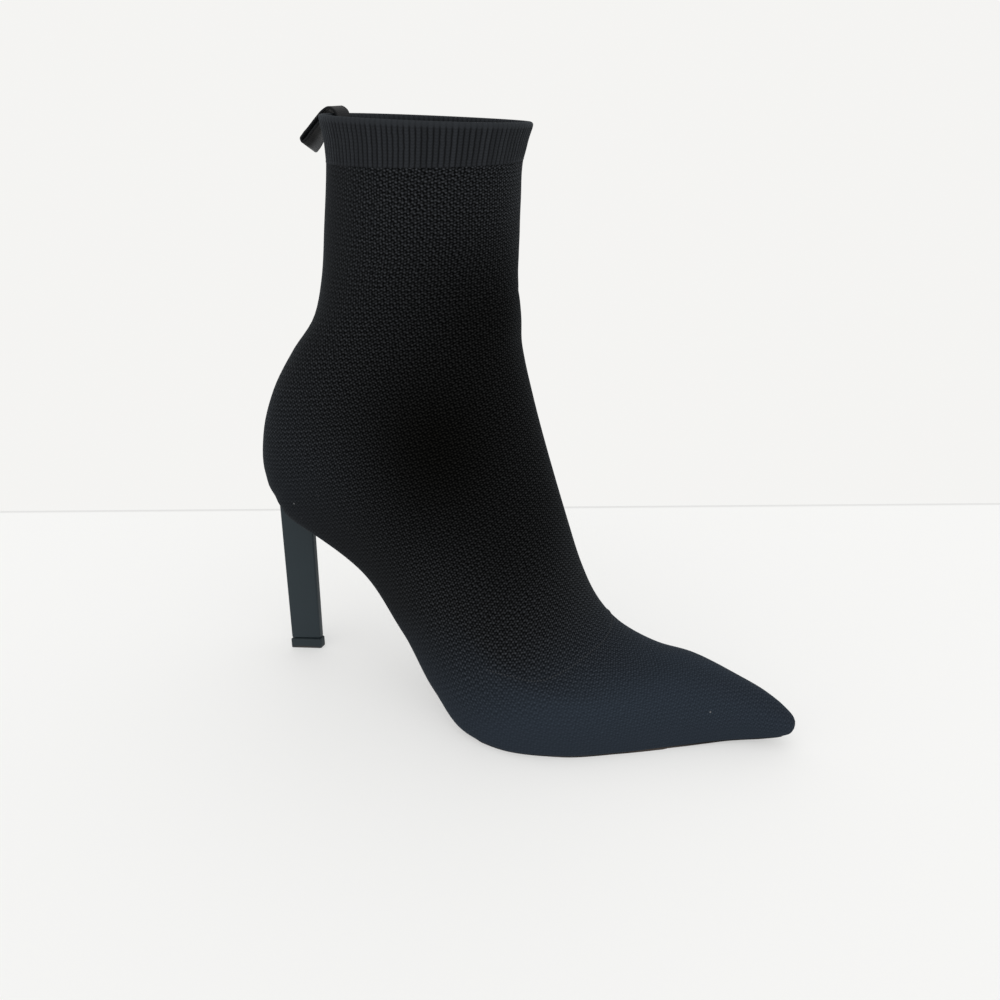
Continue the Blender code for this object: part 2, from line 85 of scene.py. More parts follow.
SECTIONS: tuple[Section, ...] = (
    Section(238.0, 9.2, 238.0, 12.0, 0.4, 0.4, 0.50, 0.1, 0.1, 8.0, 2.00, 2.00),        # toe tip
    Section(237.0, 7.4, 236.8, 13.9, 3.3, 3.0, 0.45, 0.9, 0.9, 8.0, 2.00, 2.00),        # toe front
    Section(233.0, 6.1, 232.4, 17.8, 5.0, 5.4, 0.44, 2.0, 2.6, 7.9, 2.00, 2.00),        # toe
    Section(226.0, 5.1, 225.0, 22.2, 6.7, 8.6, 0.42, 3.5, 5.4, 7.6, 2.00, 2.00),        # toe back
    Section(212.0, 4.2, 210.5, 27.4, 11.2, 14.4, 0.39, 7.9, 11.1, 6.8, 2.00, 2.00),     # toe box
    Section(194.0, 3.3, 191.3, 32.8, 20.0, 21.6, 0.34, 16.7, 18.3, 5.4, 2.00, 2.10),    # vamp
    Section(172.0, 2.8, 174.6, 33.5, 31.8, 28.8, 0.28, 28.5, 25.5, 3.6, 2.00, 2.20),    # ball front
    Section(150.0, 2.8, 160.7, 39.2, 41.9, 33.2, 0.24, 38.6, 29.8, 2.0, 2.00, 2.20),    # ball
    Section(128.0, 2.8, 150.2, 51.7, 46.3, 34.0, 0.22, 42.3, 30.0, 0.8, 2.00, 2.20),    # ball back
    Section(108.0, 4.2, 143.1, 68.3, 44.9, 32.2, 0.24, 38.0, 26.0, 0.4, 2.00, 2.10),    # waist front
    Section(89.9, 13.6, 136.3, 89.6, 39.1, 30.8, 0.28, 27.1, 21.0, 0.2, 2.00, 2.00),    # waist
    Section(72.3, 34.7, 128.8, 113.6, 34.4, 30.2, 0.31, 20.2, 18.0, 0.1, 2.00, 2.00),   # arch
    Section(53.9, 59.7, 120.5, 141.0, 32.8, 30.6, 0.33, 19.5, 18.2, 0.0, 2.10, 2.10),   # breast
    Section(33.7, 74.0, 115.6, 160.9, 32.6, 31.6, 0.35, 21.2, 20.5, 0.0, 2.20, 2.35),   # seat
    Section(15.2, 81.7, 114.9, 174.0, 32.1, 32.0, 0.36, 18.6, 18.6, 0.0, 2.20, 2.55),   # seat back
    Section(8.9, 84.7, 114.4, 178.9, 31.8, 32.0, 0.37, 15.5, 15.5, 0.0, 2.20, 2.52),    # seat end
    Section(6.0, 86.1, 114.2, 180.9, 31.8, 32.0, 0.37, 11.5, 11.5, 0.0, 2.20, 2.50),    # heel edge
    Section(2.4, 88.6, 113.9, 182.9, 31.9, 32.0, 0.37, 8.0, 8.0, 0.0, 2.20, 2.50),      # heel base
    Section(-0.7, 95.5, 113.9, 185.2, 32.0, 32.0, 0.38, 5.0, 5.0, 0.0, 2.20, 2.50),     # heel bulge
    Section(-0.3, 113.0, 113.7, 190.0, 32.0, 32.0, 0.39, 3.5, 3.5, 0.0, 2.20, 2.50),    # heel top
    Section(6.7, 134.1, 113.7, 194.8, 32.2, 32.2, 0.41, 3.0, 3.0, 0.0, 2.20, 2.45),     # counter
    Section(18.4, 153.6, 113.7, 199.0, 32.5, 32.5, 0.44, 3.0, 3.0, 0.0, 2.15, 2.32),    # tendon low
    Section(28.9, 167.9, 113.7, 203.3, 32.8, 32.8, 0.47, 3.0, 3.0, 0.0, 2.10, 2.20),    # tendon
    Section(33.6, 183.8, 113.6, 208.6, 33.0, 33.0, 0.49, 3.0, 3.0, 0.0, 2.10, 2.10),    # ankle
    Section(36.9, 206.2, 113.8, 217.5, 33.2, 33.2, 0.50, 3.0, 3.0, 0.0, 2.10, 2.10),    # shaft
    Section(39.6, 228.0, 114.3, 229.5, 33.4, 33.4, 0.50, 3.0, 3.0, 0.0, 2.10, 2.10),    # cuff base
    Section(40.1, 237.0, 115.6, 237.0, 33.8, 33.8, 0.50, 3.0, 3.0, 0.0, 2.10, 2.10),    # cuff
    Section(38.1, 246.5, 118.1, 244.3, 34.8, 34.8, 0.50, 3.0, 3.0, 0.0, 2.10, 2.10),    # collar
)
CUFF_ROW = 25


def unit(vectors: np.ndarray) -> np.ndarray:
    """Scale vectors to length one.

    Args:
        vectors: any array whose last axis holds components.

    Returns:
        The same array with unit vectors.
    """
    return vectors / np.maximum(np.linalg.norm(vectors, axis=-1, keepdims=True), 1e-9)


class Fade(NamedTuple):
    """A smooth change from 0 at one place to 1 at another, which may lie before it."""

    start: float
    end: float

    def at(self, value: np.ndarray) -> np.ndarray:
        """Shares from 0 to 1 at places."""
        t = np.clip((value - self.start) / (self.end - self.start), 0.0, 1.0)
        return t * t * (3.0 - 2.0 * t)


def curve_through(knots: np.ndarray, values: np.ndarray, where: np.ndarray, smooth: bool) -> np.ndarray:
    """Cubic curve through the rows of a table.

    Args:
        knots: place of each row.
        values: one row of values per knot.
        where: places to evaluate.
        smooth: free slopes, for outlines; otherwise slopes that never overshoot, for widths.

    Returns:
        One row of values per place.
    """
    step = np.diff(knots)[:, None]
    rate = np.diff(values, axis=0) / step
    slope = np.zeros_like(values)
    if smooth:
        slope[1:-1] = (rate[:-1] * step[1:] + rate[1:] * step[:-1]) / (step[:-1] + step[1:])
    else:
        near = 2 * step[1:] + step[:-1]
        far = step[1:] + 2 * step[:-1]
        same = rate[:-1] * rate[1:] > 1e-12
        low = np.where(same, rate[:-1], 1.0)
        high = np.where(same, rate[1:], 1.0)
        slope[1:-1] = np.where(same, (near + far) / (near / low + far / high), 0.0)
    slope[0] = rate[0]
    slope[-1] = rate[-1]
    span = np.clip(np.searchsorted(knots, where, side="right") - 1, 0, len(knots) - 2)
    t = ((where - knots[span]) / (knots[span + 1] - knots[span]))[:, None]
    reach = step[span]
    start = (2 * t**3 - 3 * t**2 + 1) * values[span] + (t**3 - 2 * t**2 + t) * reach * slope[span]
    end = (3 * t**2 - 2 * t**3) * values[span + 1] + (t**3 - t**2) * reach * slope[span + 1]
    return start + end


@dataclass
class Last:
    """The form the boot is made on, as a function of the place along it and round it."""

    wrap: float = 1.2                                   # least width that the knit turns in underneath
    opening_rows: tuple[int, int] = (2, 16)             # table rows between which the underside is open
    opening_round: tuple[float, float] = (10.0, 11.0)   # lengths of the opening's rounded ends
    strip_share: float = 0.0133                         # share of the way round given to each turned-in strip
    collar_tilt: float = 0.026                          # fall of the collar's rim toward the inner side
    rows: np.ndarray = field(init=False)
    knots: np.ndarray = field(init=False)
    ends: np.ndarray = field(init=False)

    def __post_init__(self) -> None:
        """Measure the table's places along the boot."""
        self.rows = np.array(SECTIONS)
        low = np.linalg.norm(np.diff(self.rows[:, 0:2], axis=0), axis=1)
        high = np.linalg.norm(np.diff(self.rows[:, 2:4], axis=0), axis=1)
        self.knots = np.concatenate([[0.0], np.cumsum(0.5 * (low + high))])
        self.ends = self.knots[list(self.opening_rows)] + np.array([self.wrap, -self.wrap])

    def at(self, where: np.ndarray) -> dict[str, np.ndarray]:
        """Values of every column, and the opening's half widths, at places along the boot.

        Args:
            where: places in millimetres from the toe tip.

        Returns:
            Arrays by column name, with gap_out and gap_inn added.
        """
        outline = curve_through(self.knots, self.rows[:, :4], where, smooth=True)
        rest = curve_through(self.knots, self.rows[:, 4:], where, smooth=False)
        value = dict(zip(Section._fields, np.concatenate([outline, rest], axis=1).T))
        start = np.clip((where - self.ends[0]) / self.opening_round[0], 0.0, 1.0)
        end = np.clip((self.ends[1] - where) / self.opening_round[1], 0.0, 1.0)
        open_share = np.sqrt((1.0 - (1.0 - start)**2) * (1.0 - (1.0 - end)**2))
        for side in ("out", "inn"):
            value["gap_" + side] = np.maximum(value["flat_" + side] - self.wrap, 0.0) * open_share
        return value

    def skin(self, where: np.ndarray, round_shares: np.ndarray) -> np.ndarray:
        """Points of the knit's outer face.

        Args:
            where: places along the boot.
            round_shares: places round it, from 0 at the outer edge of the underside over the top to 1.

        Returns:
            Array of points, a row per place along and a column per place round.
        """
        value = self.at(where)
        climb = (where - self.knots[CUFF_ROW]) / (self.knots[-1] - self.knots[CUFF_ROW])
        tilt = self.collar_tilt * np.clip(climb, 0.0, 1.0)**2
        turn = np.linspace(0.0, math.pi / 2, 120)
        out = np.empty((len(where), len(round_shares), 3))
        arc_shares = np.clip((round_shares - self.strip_share) / (1.0 - 2.0 * self.strip_share), 0.0, 1.0)
        strip = np.clip(np.minimum(round_shares, 1.0 - round_shares) / self.strip_share, 0.0, 1.0)
        for i in range(len(where)):
            row = {name: column[i] for name, column in value.items()}
            halves = []
            for side, tail in ((Side.OUTER, "out"), (Side.INNER, "inn")):
                width, flat = row[tail], row["flat_" + tail]
                under, crown = 2.0 / row["under"], 2.0 / row["crown"]
                low_y = flat + (width - flat) * np.sin(turn)**under
                low_u = row["rise"] * (1.0 - np.abs(np.cos(turn))**under)
                top_y = width * np.abs(np.cos(turn))**crown
                top_u = row["rise"] + (1.0 - row["rise"]) * np.sin(turn)**crown
                across = side.value * np.concatenate([low_y, top_y[1:]])
                halves.append((across, np.concatenate([low_u, top_u[1:]])))
            across = np.concatenate([halves[0][0], halves[1][0][::-1][1:]])
            share = np.concatenate([halves[0][1], halves[1][1][::-1][1:]])
            chord = math.hypot(row["x_high"] - row["x_low"], row["z_high"] - row["z_low"])
            run = np.concatenate([[0.0], np.cumsum(np.hypot(np.diff(across), np.diff(share) * chord))])
            y = np.interp(arc_shares * run[-1], run, across)
            u = np.interp(arc_shares * run[-1], run, share)
            gap = np.where(round_shares < 0.5, row["gap_out"], row["gap_inn"])
            y = np.where(strip < 1.0, np.sign(y) * (gap + (np.abs(y) - gap) * strip), y)
            out[i, :, 0] = row["x_low"] + (row["x_high"] - row["x_low"]) * u
            out[i, :, 1] = row["mid"] + y
            out[i, :, 2] = row["z_low"] + (row["z_high"] - row["z_low"]) * u - tilt[i] * y
        return out

    def outward(self, points: np.ndarray) -> np.ndarray:
        """Outward directions of a net of points whose columns close into rings.

        Args:
            points: net made by skin().

        Returns:
            One unit vector per point.
        """
        along = np.gradient(points, axis=0)
        round_it = np.gradient(points, axis=1)
        wrap = 0.5 * (points[:, 1] - points[:, -2])
        round_it[:, 0] = wrap
        round_it[:, -1] = wrap
        return unit(np.cross(round_it, along))


@dataclass
class Underside:
    """The bottom line of the boot, unrolled, on which the sole plates lie."""

    last: Last
    steps: int = 170
    run: np.ndarray = field(init=False)
    outer: np.ndarray = field(init=False)
    inner: np.ndarray = field(init=False)
    line: np.ndarray = field(init=False)
    up: np.ndarray = field(init=False)

    def __post_init__(self) -> None:
        """Walk along the opening, with closer steps at its rounded ends."""
        share = 0.5 - 0.5 * np.cos(np.linspace(0.0, math.pi, self.steps))
        places = self.last.ends[0] + (self.last.ends[1] - self.last.ends[0]) * share
        value = self.last.at(places)
        self.line = np.stack([value["x_low"], value["z_low"]], axis=1)
        self.run = np.concatenate([[0.0], np.cumsum(np.linalg.norm(np.diff(self.line, axis=0), axis=1))])
        self.outer = value["mid"] - value["gap_out"]
        self.inner = value["mid"] + value["gap_inn"]
        slope = unit(np.gradient(self.line, self.run, axis=0))
        self.up = np.stack([slope[:, 1], -slope[:, 0]], axis=1)

    def point(self, run: np.ndarray, height: Union[float, np.ndarray]) -> np.ndarray:
        """Points over the bottom line.

        Args:
            run: distances along the line, which goes straight on past its ends.
            height: distance over it, toward the foot, one for all or one for each.

        Returns:
            Array of X and Z.
        """
        inside = np.clip(run, self.run[0], self.run[-1])
        spot = np.stack([np.interp(inside, self.run, self.line[:, k]) for k in range(2)], axis=-1)
        up = np.stack([np.interp(inside, self.run, self.up[:, k]) for k in range(2)], axis=-1)
        ahead = np.stack([-up[..., 1], up[..., 0]], axis=-1)
        return spot + (run - inside)[..., None] * ahead + np.asarray(height)[..., None] * up

    def edges(self, offset: float, least: float) -> tuple[np.ndarray, np.ndarray]:
        """Outer and inner edge of a plate.

        Args:
            offset: how far the plate reaches past the opening's edge.
            least: opening half width below which the plate has already ended.

        Returns:
            Two lists of distance along and place across.
        """
        keep = 0.5 * (self.inner - self.outer) >= least
        found = []
        for across, side in ((self.outer, Side.OUTER), (self.inner, Side.INNER)):
            path = np.stack([self.run, across], axis=1)
            slope = unit(np.gradient(path, axis=0))
            away = side.value * np.stack([-slope[:, 1], slope[:, 0]], axis=1)
            found.append((path + offset * away)[keep])
        return found[0], found[1]


@dataclass
class KnitFlow:
    """How the knit lies on the last: courses square to the front line, wales beside it."""

    last: Last
    wale: float = 2.38     # one loop along a course
    course: float = 1.46   # from one course to the next
    steps: int = 3000
    levels: int = 420
    batch: int = 2000      # points compared with the guide line at a time
    ease: float = 40.0     # length over which the guide line's bends are spread
    held: float = 0.62     # share of the way along where the guide line keeps its place

    def guide(self) -> np.ndarray:
        """The front line with its bends spread out, so that courses fan evenly.

        Returns:
            Points of X and Z from the toe tip to the collar.
        """
        value = self.last.at(np.linspace(0.0, self.last.knots[-1], self.steps))
        ridge = np.stack([value["x_high"], value["z_high"]], axis=1)
        step = np.linalg.norm(np.diff(ridge, axis=0), axis=1)
        angle = np.unwrap(np.arctan2(np.diff(ridge[:, 1]), np.diff(ridge[:, 0])))
        even = np.linspace(0.0, step.sum(), self.steps)
        angle = np.interp(even, np.cumsum(step), angle)
        reach = int(3.0 * self.ease / even[1])
        weight = np.exp(-0.5 * (np.arange(-reach, reach + 1) * even[1] / self.ease)**2)
        angle = np.convolve(np.pad(angle, reach, mode="edge"), weight / weight.sum(), mode="valid")
        path = np.cumsum(np.stack([np.cos(angle), np.sin(angle)], axis=1) * even[1], axis=0)
        middle = int(self.held * self.steps)
        near = [np.interp(even[middle], np.cumsum(step), ridge[1:, axis]) for axis in range(2)]
        return path - path[middle] + np.array(near)

    def courses(self, points: np.ndarray) -> np.ndarray:
        """Distances along the front line, from the toe tip, of the nearest places on it.

        Args:
            points: net of drawing points.

        Returns:
            One distance in millimetres per point.
        """
        ridge = self.guide()
        run = np.concatenate([[0.0], np.cumsum(np.linalg.norm(np.diff(ridge, axis=0), axis=1))])
        along = unit(np.gradient(ridge, axis=0))
        flat = points[..., (0, 2)].reshape(-1, 2)
        found = np.empty(len(flat))
        for first in range(0, len(flat), self.batch):
            part = flat[first:first + self.batch]
            gap = (part[:, None, 0] - ridge[None, :, 0])**2 + (part[:, None, 1] - ridge[None, :, 1])**2
            near = gap.argmin(axis=1)
            past = ((part - ridge[near]) * along[near]).sum(axis=1)
            at_end = (near == 0) | (near == self.steps - 1)
            found[first:first + self.batch] = run[near] + np.where(at_end, past, 0.0)
        return found.reshape(points.shape[:2])

    def counts(self, points: np.ndarray, middle: int) -> np.ndarray:
        """Wales counted from the front line and courses counted from the toe tip.

        Args:
            points: net of drawing points, a row per place along.
            middle: column of the front line.

        Returns:
            Both counts for every point.
        """
        course = self.courses(points)
        level = np.linspace(course.min(), course.max(), self.levels)
        rows = np.empty((self.levels, points.shape[1], 3))
        climb = np.maximum.accumulate(course, axis=0) + np.arange(len(course))[:, None] * 1e-6
        for column in range(points.shape[1]):
            for axis in range(3):
                rows[:, column, axis] = np.interp(level, climb[:, column], points[:, column, axis])
        step = np.linalg.norm(np.diff(rows, axis=1), axis=2)
        run = np.concatenate([np.zeros((self.levels, 1)), np.cumsum(step, axis=1)], axis=1)
        run = run[:, middle:middle + 1] - run
        wale = np.empty_like(course)
        for column in range(points.shape[1]):
            wale[:, column] = np.interp(climb[:, column], level, run[:, column])
        return np.stack([wale / self.wale, course / self.course], axis=-1)


class Shop:
    """Work that every piece goes through: shaping, merging, thickening, smoothing and seating."""

    @staticmethod
    def clear_selection() -> None:
        """Leave edit mode and deselect everything."""
        if bpy.context.object is not None and bpy.context.object.mode != "OBJECT":
            bpy.ops.object.mode_set(mode="OBJECT")
        bpy.ops.object.select_all(action="DESELECT")

    @staticmethod
    def pick(piece: bpy.types.Object) -> None:
        """Select one piece alone and make it active.

        Args:
            piece: object to work on.
        """
        Shop.clear_selection()
        piece.select_set(True)
        bpy.context.view_layer.objects.active = piece

    @staticmethod
    def to_part(points: np.ndarray) -> np.ndarray:
        """Drawing millimetres as metres in the part's frame."""
        return (points - PLAN_CENTRE) * MM

    @staticmethod
    def net(name: str, points: np.ndarray, uv: np.ndarray, uv_name: str) -> bpy.types.Object:
        """Shape a grid primitive to a net of points.

        Args:
            name: name of the new object.
            points: net of drawing points, a row per grid row.
            uv: UV place of each point.
            uv_name: name of the UV map.

        Returns:
            The new mesh object.
        """
        rows, columns = points.shape[:2]
        Shop.clear_selection()
        bpy.ops.mesh.primitive_grid_add(x_subdivisions=columns - 1, y_subdivisions=rows - 1, size=1.0)
        piece = bpy.context.active_object
        mesh = piece.data
        piece.name = mesh.name = name
        spot = np.empty(len(mesh.vertices) * 3)
        mesh.vertices.foreach_get("co", spot)
        spot = spot.reshape(-1, 3)
        column = np.rint((spot[:, 0] + 0.5) * (columns - 1)).astype(int)
        row = np.rint((spot[:, 1] + 0.5) * (rows - 1)).astype(int)
        mesh.vertices.foreach_set("co", Shop.to_part(points[row, column]).ravel())
        layer = mesh.uv_layers[0]
        layer.name = uv_name
        corner = np.empty(len(mesh.loops), dtype=np.int32)
        mesh.loops.foreach_get("vertex_index", corner)
        layer.data.foreach_set("uv", uv[row[corner], column[corner]].ravel())
        mesh.update()
        return piece

    @staticmethod
    def even_uv(points: np.ndarray) -> np.ndarray:
        """UV places spread evenly over a net."""
        rows, columns = points.shape[:2]
        return np.stack(np.meshgrid(np.linspace(0.0, 1.0, columns), np.linspace(0.0, 1.0, rows)), axis=-1)

    @staticmethod
    def mark(piece: bpy.types.Object, name: str, net_values: np.ndarray) -> None:
        """Store one number per point of a fresh net as a mesh attribute.

        Args:
            piece: object made by net() and not yet merged.
            name: attribute name.
            net_values: one value per net point.
        """
        attribute = piece.data.attributes.new(name, "FLOAT", "POINT")
        attribute.data.foreach_set("value", net_values.ravel().astype(np.float32))

    @staticmethod
    @contextmanager
    def editing(piece: bpy.types.Object, select: Optional[str] = "SELECT") -> Iterator[None]:
        """Edit one piece's mesh and leave edit mode at the end.

        Args:
            piece: object to work on.
            select: what is selected at first, SELECT for all and DESELECT for none, or nothing to keep it.

        Yields:
            Once, in edit mode.
        """
        Shop.pick(piece)
        bpy.ops.object.mode_set(mode="EDIT")
        if select is not None:
            bpy.ops.mesh.select_all(action=select)
        yield
        bpy.ops.object.mode_set(mode="OBJECT")

    @staticmethod
    def merge(piece: bpy.types.Object, distance: float = 2e-6) -> None:
        """Close the seams where net points coincide."""
        with Shop.editing(piece):
            bpy.ops.mesh.remove_doubles(threshold=distance)

    @staticmethod
    def face_out(piece: bpy.types.Object) -> None:
        """Turn the faces of a closed mesh outward."""
        with Shop.editing(piece):
            bpy.ops.mesh.normals_make_consistent(inside=False)

    @staticmethod
    def round_edges(piece: bpy.types.Object, radius: float, segments: int, angle: float) -> None:
        """Round the edges that are sharper than an angle in degrees, with a radius in millimetres."""
        Shop.apply(piece, "BEVEL", width=radius * MM, segments=segments, limit_method="ANGLE",
                   angle_limit=math.radians(angle))

    @staticmethod
    def apply(piece: bpy.types.Object, kind: str, **settings: object) -> None:
        """Add a modifier with its settings and apply it.

        Args:
            piece: object to change.
            kind: modifier type, such as SOLIDIFY.
            **settings: its properties by name.
        """
        Shop.pick(piece)
        modifier = piece.modifiers.new(kind.lower(), kind)
        for name, value in settings.items():
            setattr(modifier, name, value)
        bpy.ops.object.modifier_apply(modifier=modifier.name)

    @staticmethod
    def smooth(piece: bpy.types.Object, angle: float = 45.0) -> None:
        """Shade a piece smooth except where faces meet at more than an angle in degrees."""
        Shop.pick(piece)
        bpy.ops.object.shade_smooth_by_angle(angle=math.radians(angle))

    @staticmethod
    def join(first: bpy.types.Object, others: Sequence[bpy.types.Object]) -> bpy.types.Object:
        """Join other pieces into the first one.

        Args:
            first: piece that stays.
            others: pieces that go into it.

        Returns:
            The first piece.
        """
        Shop.clear_selection()
        for piece in others:
            piece.select_set(True)
        first.select_set(True)
        bpy.context.view_layer.objects.active = first
        bpy.ops.object.join()
        return first

    @staticmethod
    def seat(piece: bpy.types.Object, slot: str, nodes: Sequence[str] = ()) -> bpy.types.Object:
        """Give a finished piece its body and hide the solids it stands for.

        Args:
            piece: finished object.
            slot: the record's material slot; not used.
            nodes: solids that it replaces.

        Returns:
            The same object.
        """
        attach(piece, BODY)
        if nodes:
            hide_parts(*nodes)
        piece.data.calc_loop_triangles()
        LOG.info("%s: %d triangles", piece.name, len(piece.data.loop_triangles))
        return piece


class Graph:
    """A node tree with short calls that add a node, link its inputs and give back an output."""

    def __init__(self, tree: bpy.types.NodeTree) -> None:
        """Work on a node tree."""
        self.tree = tree

    def put(self, target: Socket, value: Value) -> None:
        """Link a socket to an input, or set the input's own value.

        Args:
            target: the input.
            value: socket or value.
        """
        if isinstance(value, bpy.types.NodeSocket):
            self.tree.links.new(value, target)
        else:
            target.default_value = value

    def node(self, kind: str, given: Optional[dict[Union[int, str], Value]] = None,
             **settings: object) -> bpy.types.Node:
        """Add a node.

        Args:
            kind: node type.
            given: values or links of its inputs, by name or number.
            **settings: its properties by name.

        Returns:
            The new node.
        """
        made = self.tree.nodes.new(kind)
        for name, value in settings.items():
            setattr(made, name, value)
        for key, value in (given or {}).items():
            self.put(made.inputs[key], value)
        return made

    def math(self, operation: str, first: Value, second: Value = 0.0, third: Value = 0.0,
             clamp: bool = False) -> Socket:
        """Math node on up to three values."""
        return self.node("ShaderNodeMath", {0: first, 1: second, 2: third}, operation=operation,
                         use_clamp=clamp).outputs[0]

    def times(self, first: Value, second: Value, plus: Value = 0.0) -> Socket:
        """Product of two values, with a third added."""
        return self.math("MULTIPLY_ADD", first, second, plus)

    def ramp(self, value: Value, low: float, high: float, start: float = 0.0, end: float = 1.0) -> Socket:
        """Smooth ramp of a value from one range to another."""
        given = {"Value": value, "From Min": low, "From Max": high, "To Min": start, "To Max": end}
        return self.node("ShaderNodeMapRange", given, interpolation_type="SMOOTHSTEP").outputs["Result"]

    def blend(self, share: Value, first: Value, second: Value) -> Socket:
        """Mix of two colours."""
        return self.node("ShaderNodeMix", {0: share, 6: first, 7: second}, data_type="RGBA",
                         blend_type="MIX").outputs[2]

    def noise(self, vector: Socket, scale: Value, detail: float = 3.0, rough: float = 0.55) -> Socket:
        """Noise texture's value."""
        given = {"Vector": vector, "Scale": scale, "Detail": detail, "Roughness": rough}
        return self.node("ShaderNodeTexNoise", given).outputs["Fac"]

    def swing(self, vector: Socket, scale: float, detail: float) -> Socket:
        """Noise about zero."""
        return self.math("SUBTRACT", self.noise(vector, scale, detail), 0.5)

    def split(self, vector: Socket) -> tuple[Socket, Socket, Socket]:
        """Components of a vector."""
        return tuple(self.node("ShaderNodeSeparateXYZ", {0: vector}).outputs)

    def uv(self, name: str) -> Socket:
        """Place on a UV map."""
        return self.node("ShaderNodeUVMap", uv_map=name).outputs["UV"]

    def attribute(self, name: str) -> Socket:
        """Value of a mesh attribute."""
        return self.node("ShaderNodeAttribute", attribute_name=name).outputs["Fac"]

    def chance(self, number: Value) -> Socket:
        """A steady random value for each whole number."""
        spot = self.node("ShaderNodeCombineXYZ", {0: number}).outputs[0]
        return self.node("ShaderNodeTexWhiteNoise", {"Vector": spot}, noise_dimensions="2D").outputs["Value"]

    def cosine(self, turns: Value) -> Socket:
        """Cosine of a number of whole turns."""
        return self.math("COSINE", self.times(turns, 2.0 * math.pi))

    def bump(self, height: Socket, distance: float) -> Socket:
        """Normal of a surface with a height drawn on it."""
        return self.node("ShaderNodeBump", {"Strength": 1.0, "Distance": distance,
                                            "Height": height}).outputs["Normal"]


class Effect(Enum):
    """Shared surface effects, each a shader node group built once."""

    KNIT = "knit_loops"
    RIB = "knit_ribs"
    TONE = "tone_and_lint"


class Wave(NamedTuple):
    """One of the waves that make up the knit's loops."""

    wales: float      # waves to a wale
    courses: float    # waves to a course
    turn: float       # where it starts, in turns
    strength: float


WAVES: tuple[Wave, ...] = (
    Wave(1.0, 0.0, 0.0, 0.24),
    Wave(0.0, 1.0, 0.0, 0.22),
    Wave(2.0, 1.0, 0.211, 0.28),
    Wave(1.0, -1.0, -0.184, 0.23),
    Wave(1.0, 2.0, 0.377, 0.31),
)


class Effects:
    """Builds the shared node groups when they are first asked for."""

    @staticmethod
    def get(effect: Effect) -> bpy.types.NodeTree:
        """Give the node group of an effect, which takes a vector and some numbers and gives values.

        Args:
            effect: which group.

        Returns:
            The group, made on first use.
        """
        found = bpy.data.node_groups.get(effect.value)
        if found is not None:
            return found
        draw, numbers = {
            Effect.KNIT: (Effects.knit_loops, ("Fine",)),
            Effect.RIB: (Effects.knit_ribs, ()),
            Effect.TONE: (Effects.tone_and_lint, ("Patch", "Speck")),
        }[effect]
        tree = bpy.data.node_groups.new(effect.value, "ShaderNodeTree")
        tree.interface.new_socket("Vector", in_out="INPUT", socket_type="NodeSocketVector")
        for name in numbers:
            tree.interface.new_socket(name, in_out="INPUT", socket_type="NodeSocketFloat")
        graph = Graph(tree)
        made = draw(graph, **{socket.name.lower(): socket for socket in graph.node("NodeGroupInput").outputs
                              if socket.name})
        for name in made:
            tree.interface.new_socket(name, in_out="OUTPUT", socket_type="NodeSocketFloat")
        graph.node("NodeGroupOutput", made)
        return tree

    @staticmethod
    def knit_loops(graph: Graph, vector: Socket, fine: Socket) -> dict[str, Socket]:
        """Loops of a bird's-eye knit, offset by half in every other course.

        Args:
            graph: the group's graph.
            vector: counts of wales and courses.
            fine: how little the loops show.

        Returns:
            Their height and how light they are.
        """
        wale, course, _ = graph.split(vector)
        wander = graph.swing(vector, 0.16, 2.0)    # over many loops
        jitter = graph.swing(vector, 0.75, 1.0)    # from loop to loop
        wale = graph.times(wander, 0.7, graph.times(jitter, 0.22, wale))
        course = graph.times(wander, -0.4, graph.times(jitter, -0.18, course))
        lean = graph.times(course, -0.5, wale)
        total: Value = 0.0
        for wave in WAVES:
            turns = graph.times(lean, wave.wales, graph.times(course, wave.courses, wave.turn))
            total = graph.times(graph.cosine(turns), wave.strength, total)
        fibre = graph.swing(vector, 2.1, 2.0)
        rough = graph.times(total, 0.60, graph.times(fibre, 1.4))
        keep = graph.times(fine, -0.80, 1.0)
        grain = graph.math("MULTIPLY_ADD", rough, keep, 0.47, clamp=True)
        return {"Height": grain, "Grain": graph.times(grain, grain)}

    @staticmethod
    def knit_ribs(graph: Graph, vector: Socket) -> dict[str, Socket]:
        """Upright ribs with narrow grooves and small chevrons.

        Args:
            graph: the group's graph.
            vector: counts of ribs and courses.

        Returns:
            Their height and how light they are.
        """
        rib, course, _ = graph.split(vector)
        drift = graph.swing(vector, 0.55, 1.0)
        turns = graph.times(graph.times(drift, 0.22, rib), math.pi)
        fold = graph.math("ABSOLUTE", graph.math("SINE", turns))
        groove = graph.ramp(fold, 0.0, 0.85)
        chevron = graph.cosine(graph.times(fold, 0.55, course))
        tone = graph.times(graph.chance(graph.math("FLOOR", rib)), 0.35, 0.65)
        loops = graph.times(chevron, 0.16, 0.84)
        return {"Height": graph.times(groove, loops), "Grain": graph.times(groove, graph.times(tone, loops))}

    @staticmethod
    def tone_and_lint(graph: Graph, vector: Socket, patch: Socket, speck: Socket) -> dict[str, Socket]:
        """Slow change of tone over a surface, fine speckle, and a few specks of lint.

        Args:
            graph: the group's graph.
            vector: place on the object.
            patch: patches of tone to the metre.
            speck: cells that may hold a speck, to the metre.

        Returns:
            The three masks.
        """
        cells = graph.node("ShaderNodeTexVoronoi", {"Vector": vector, "Scale": speck}, feature="F1").outputs
        near = graph.ramp(cells["Distance"], 0.075, 0.03)
        chosen = graph.node("ShaderNodeSeparateColor", {0: cells["Color"]}).outputs[0]
        rare = graph.math("GREATER_THAN", chosen, 0.972)
        return {"Tone": graph.noise(vector, patch, 2.0, 0.5), "Speckle": graph.noise(vector, 2600.0, 2.0),
                "Lint": graph.times(near, rare)}


LINT = (0.30, 0.30, 0.31, 1.0)


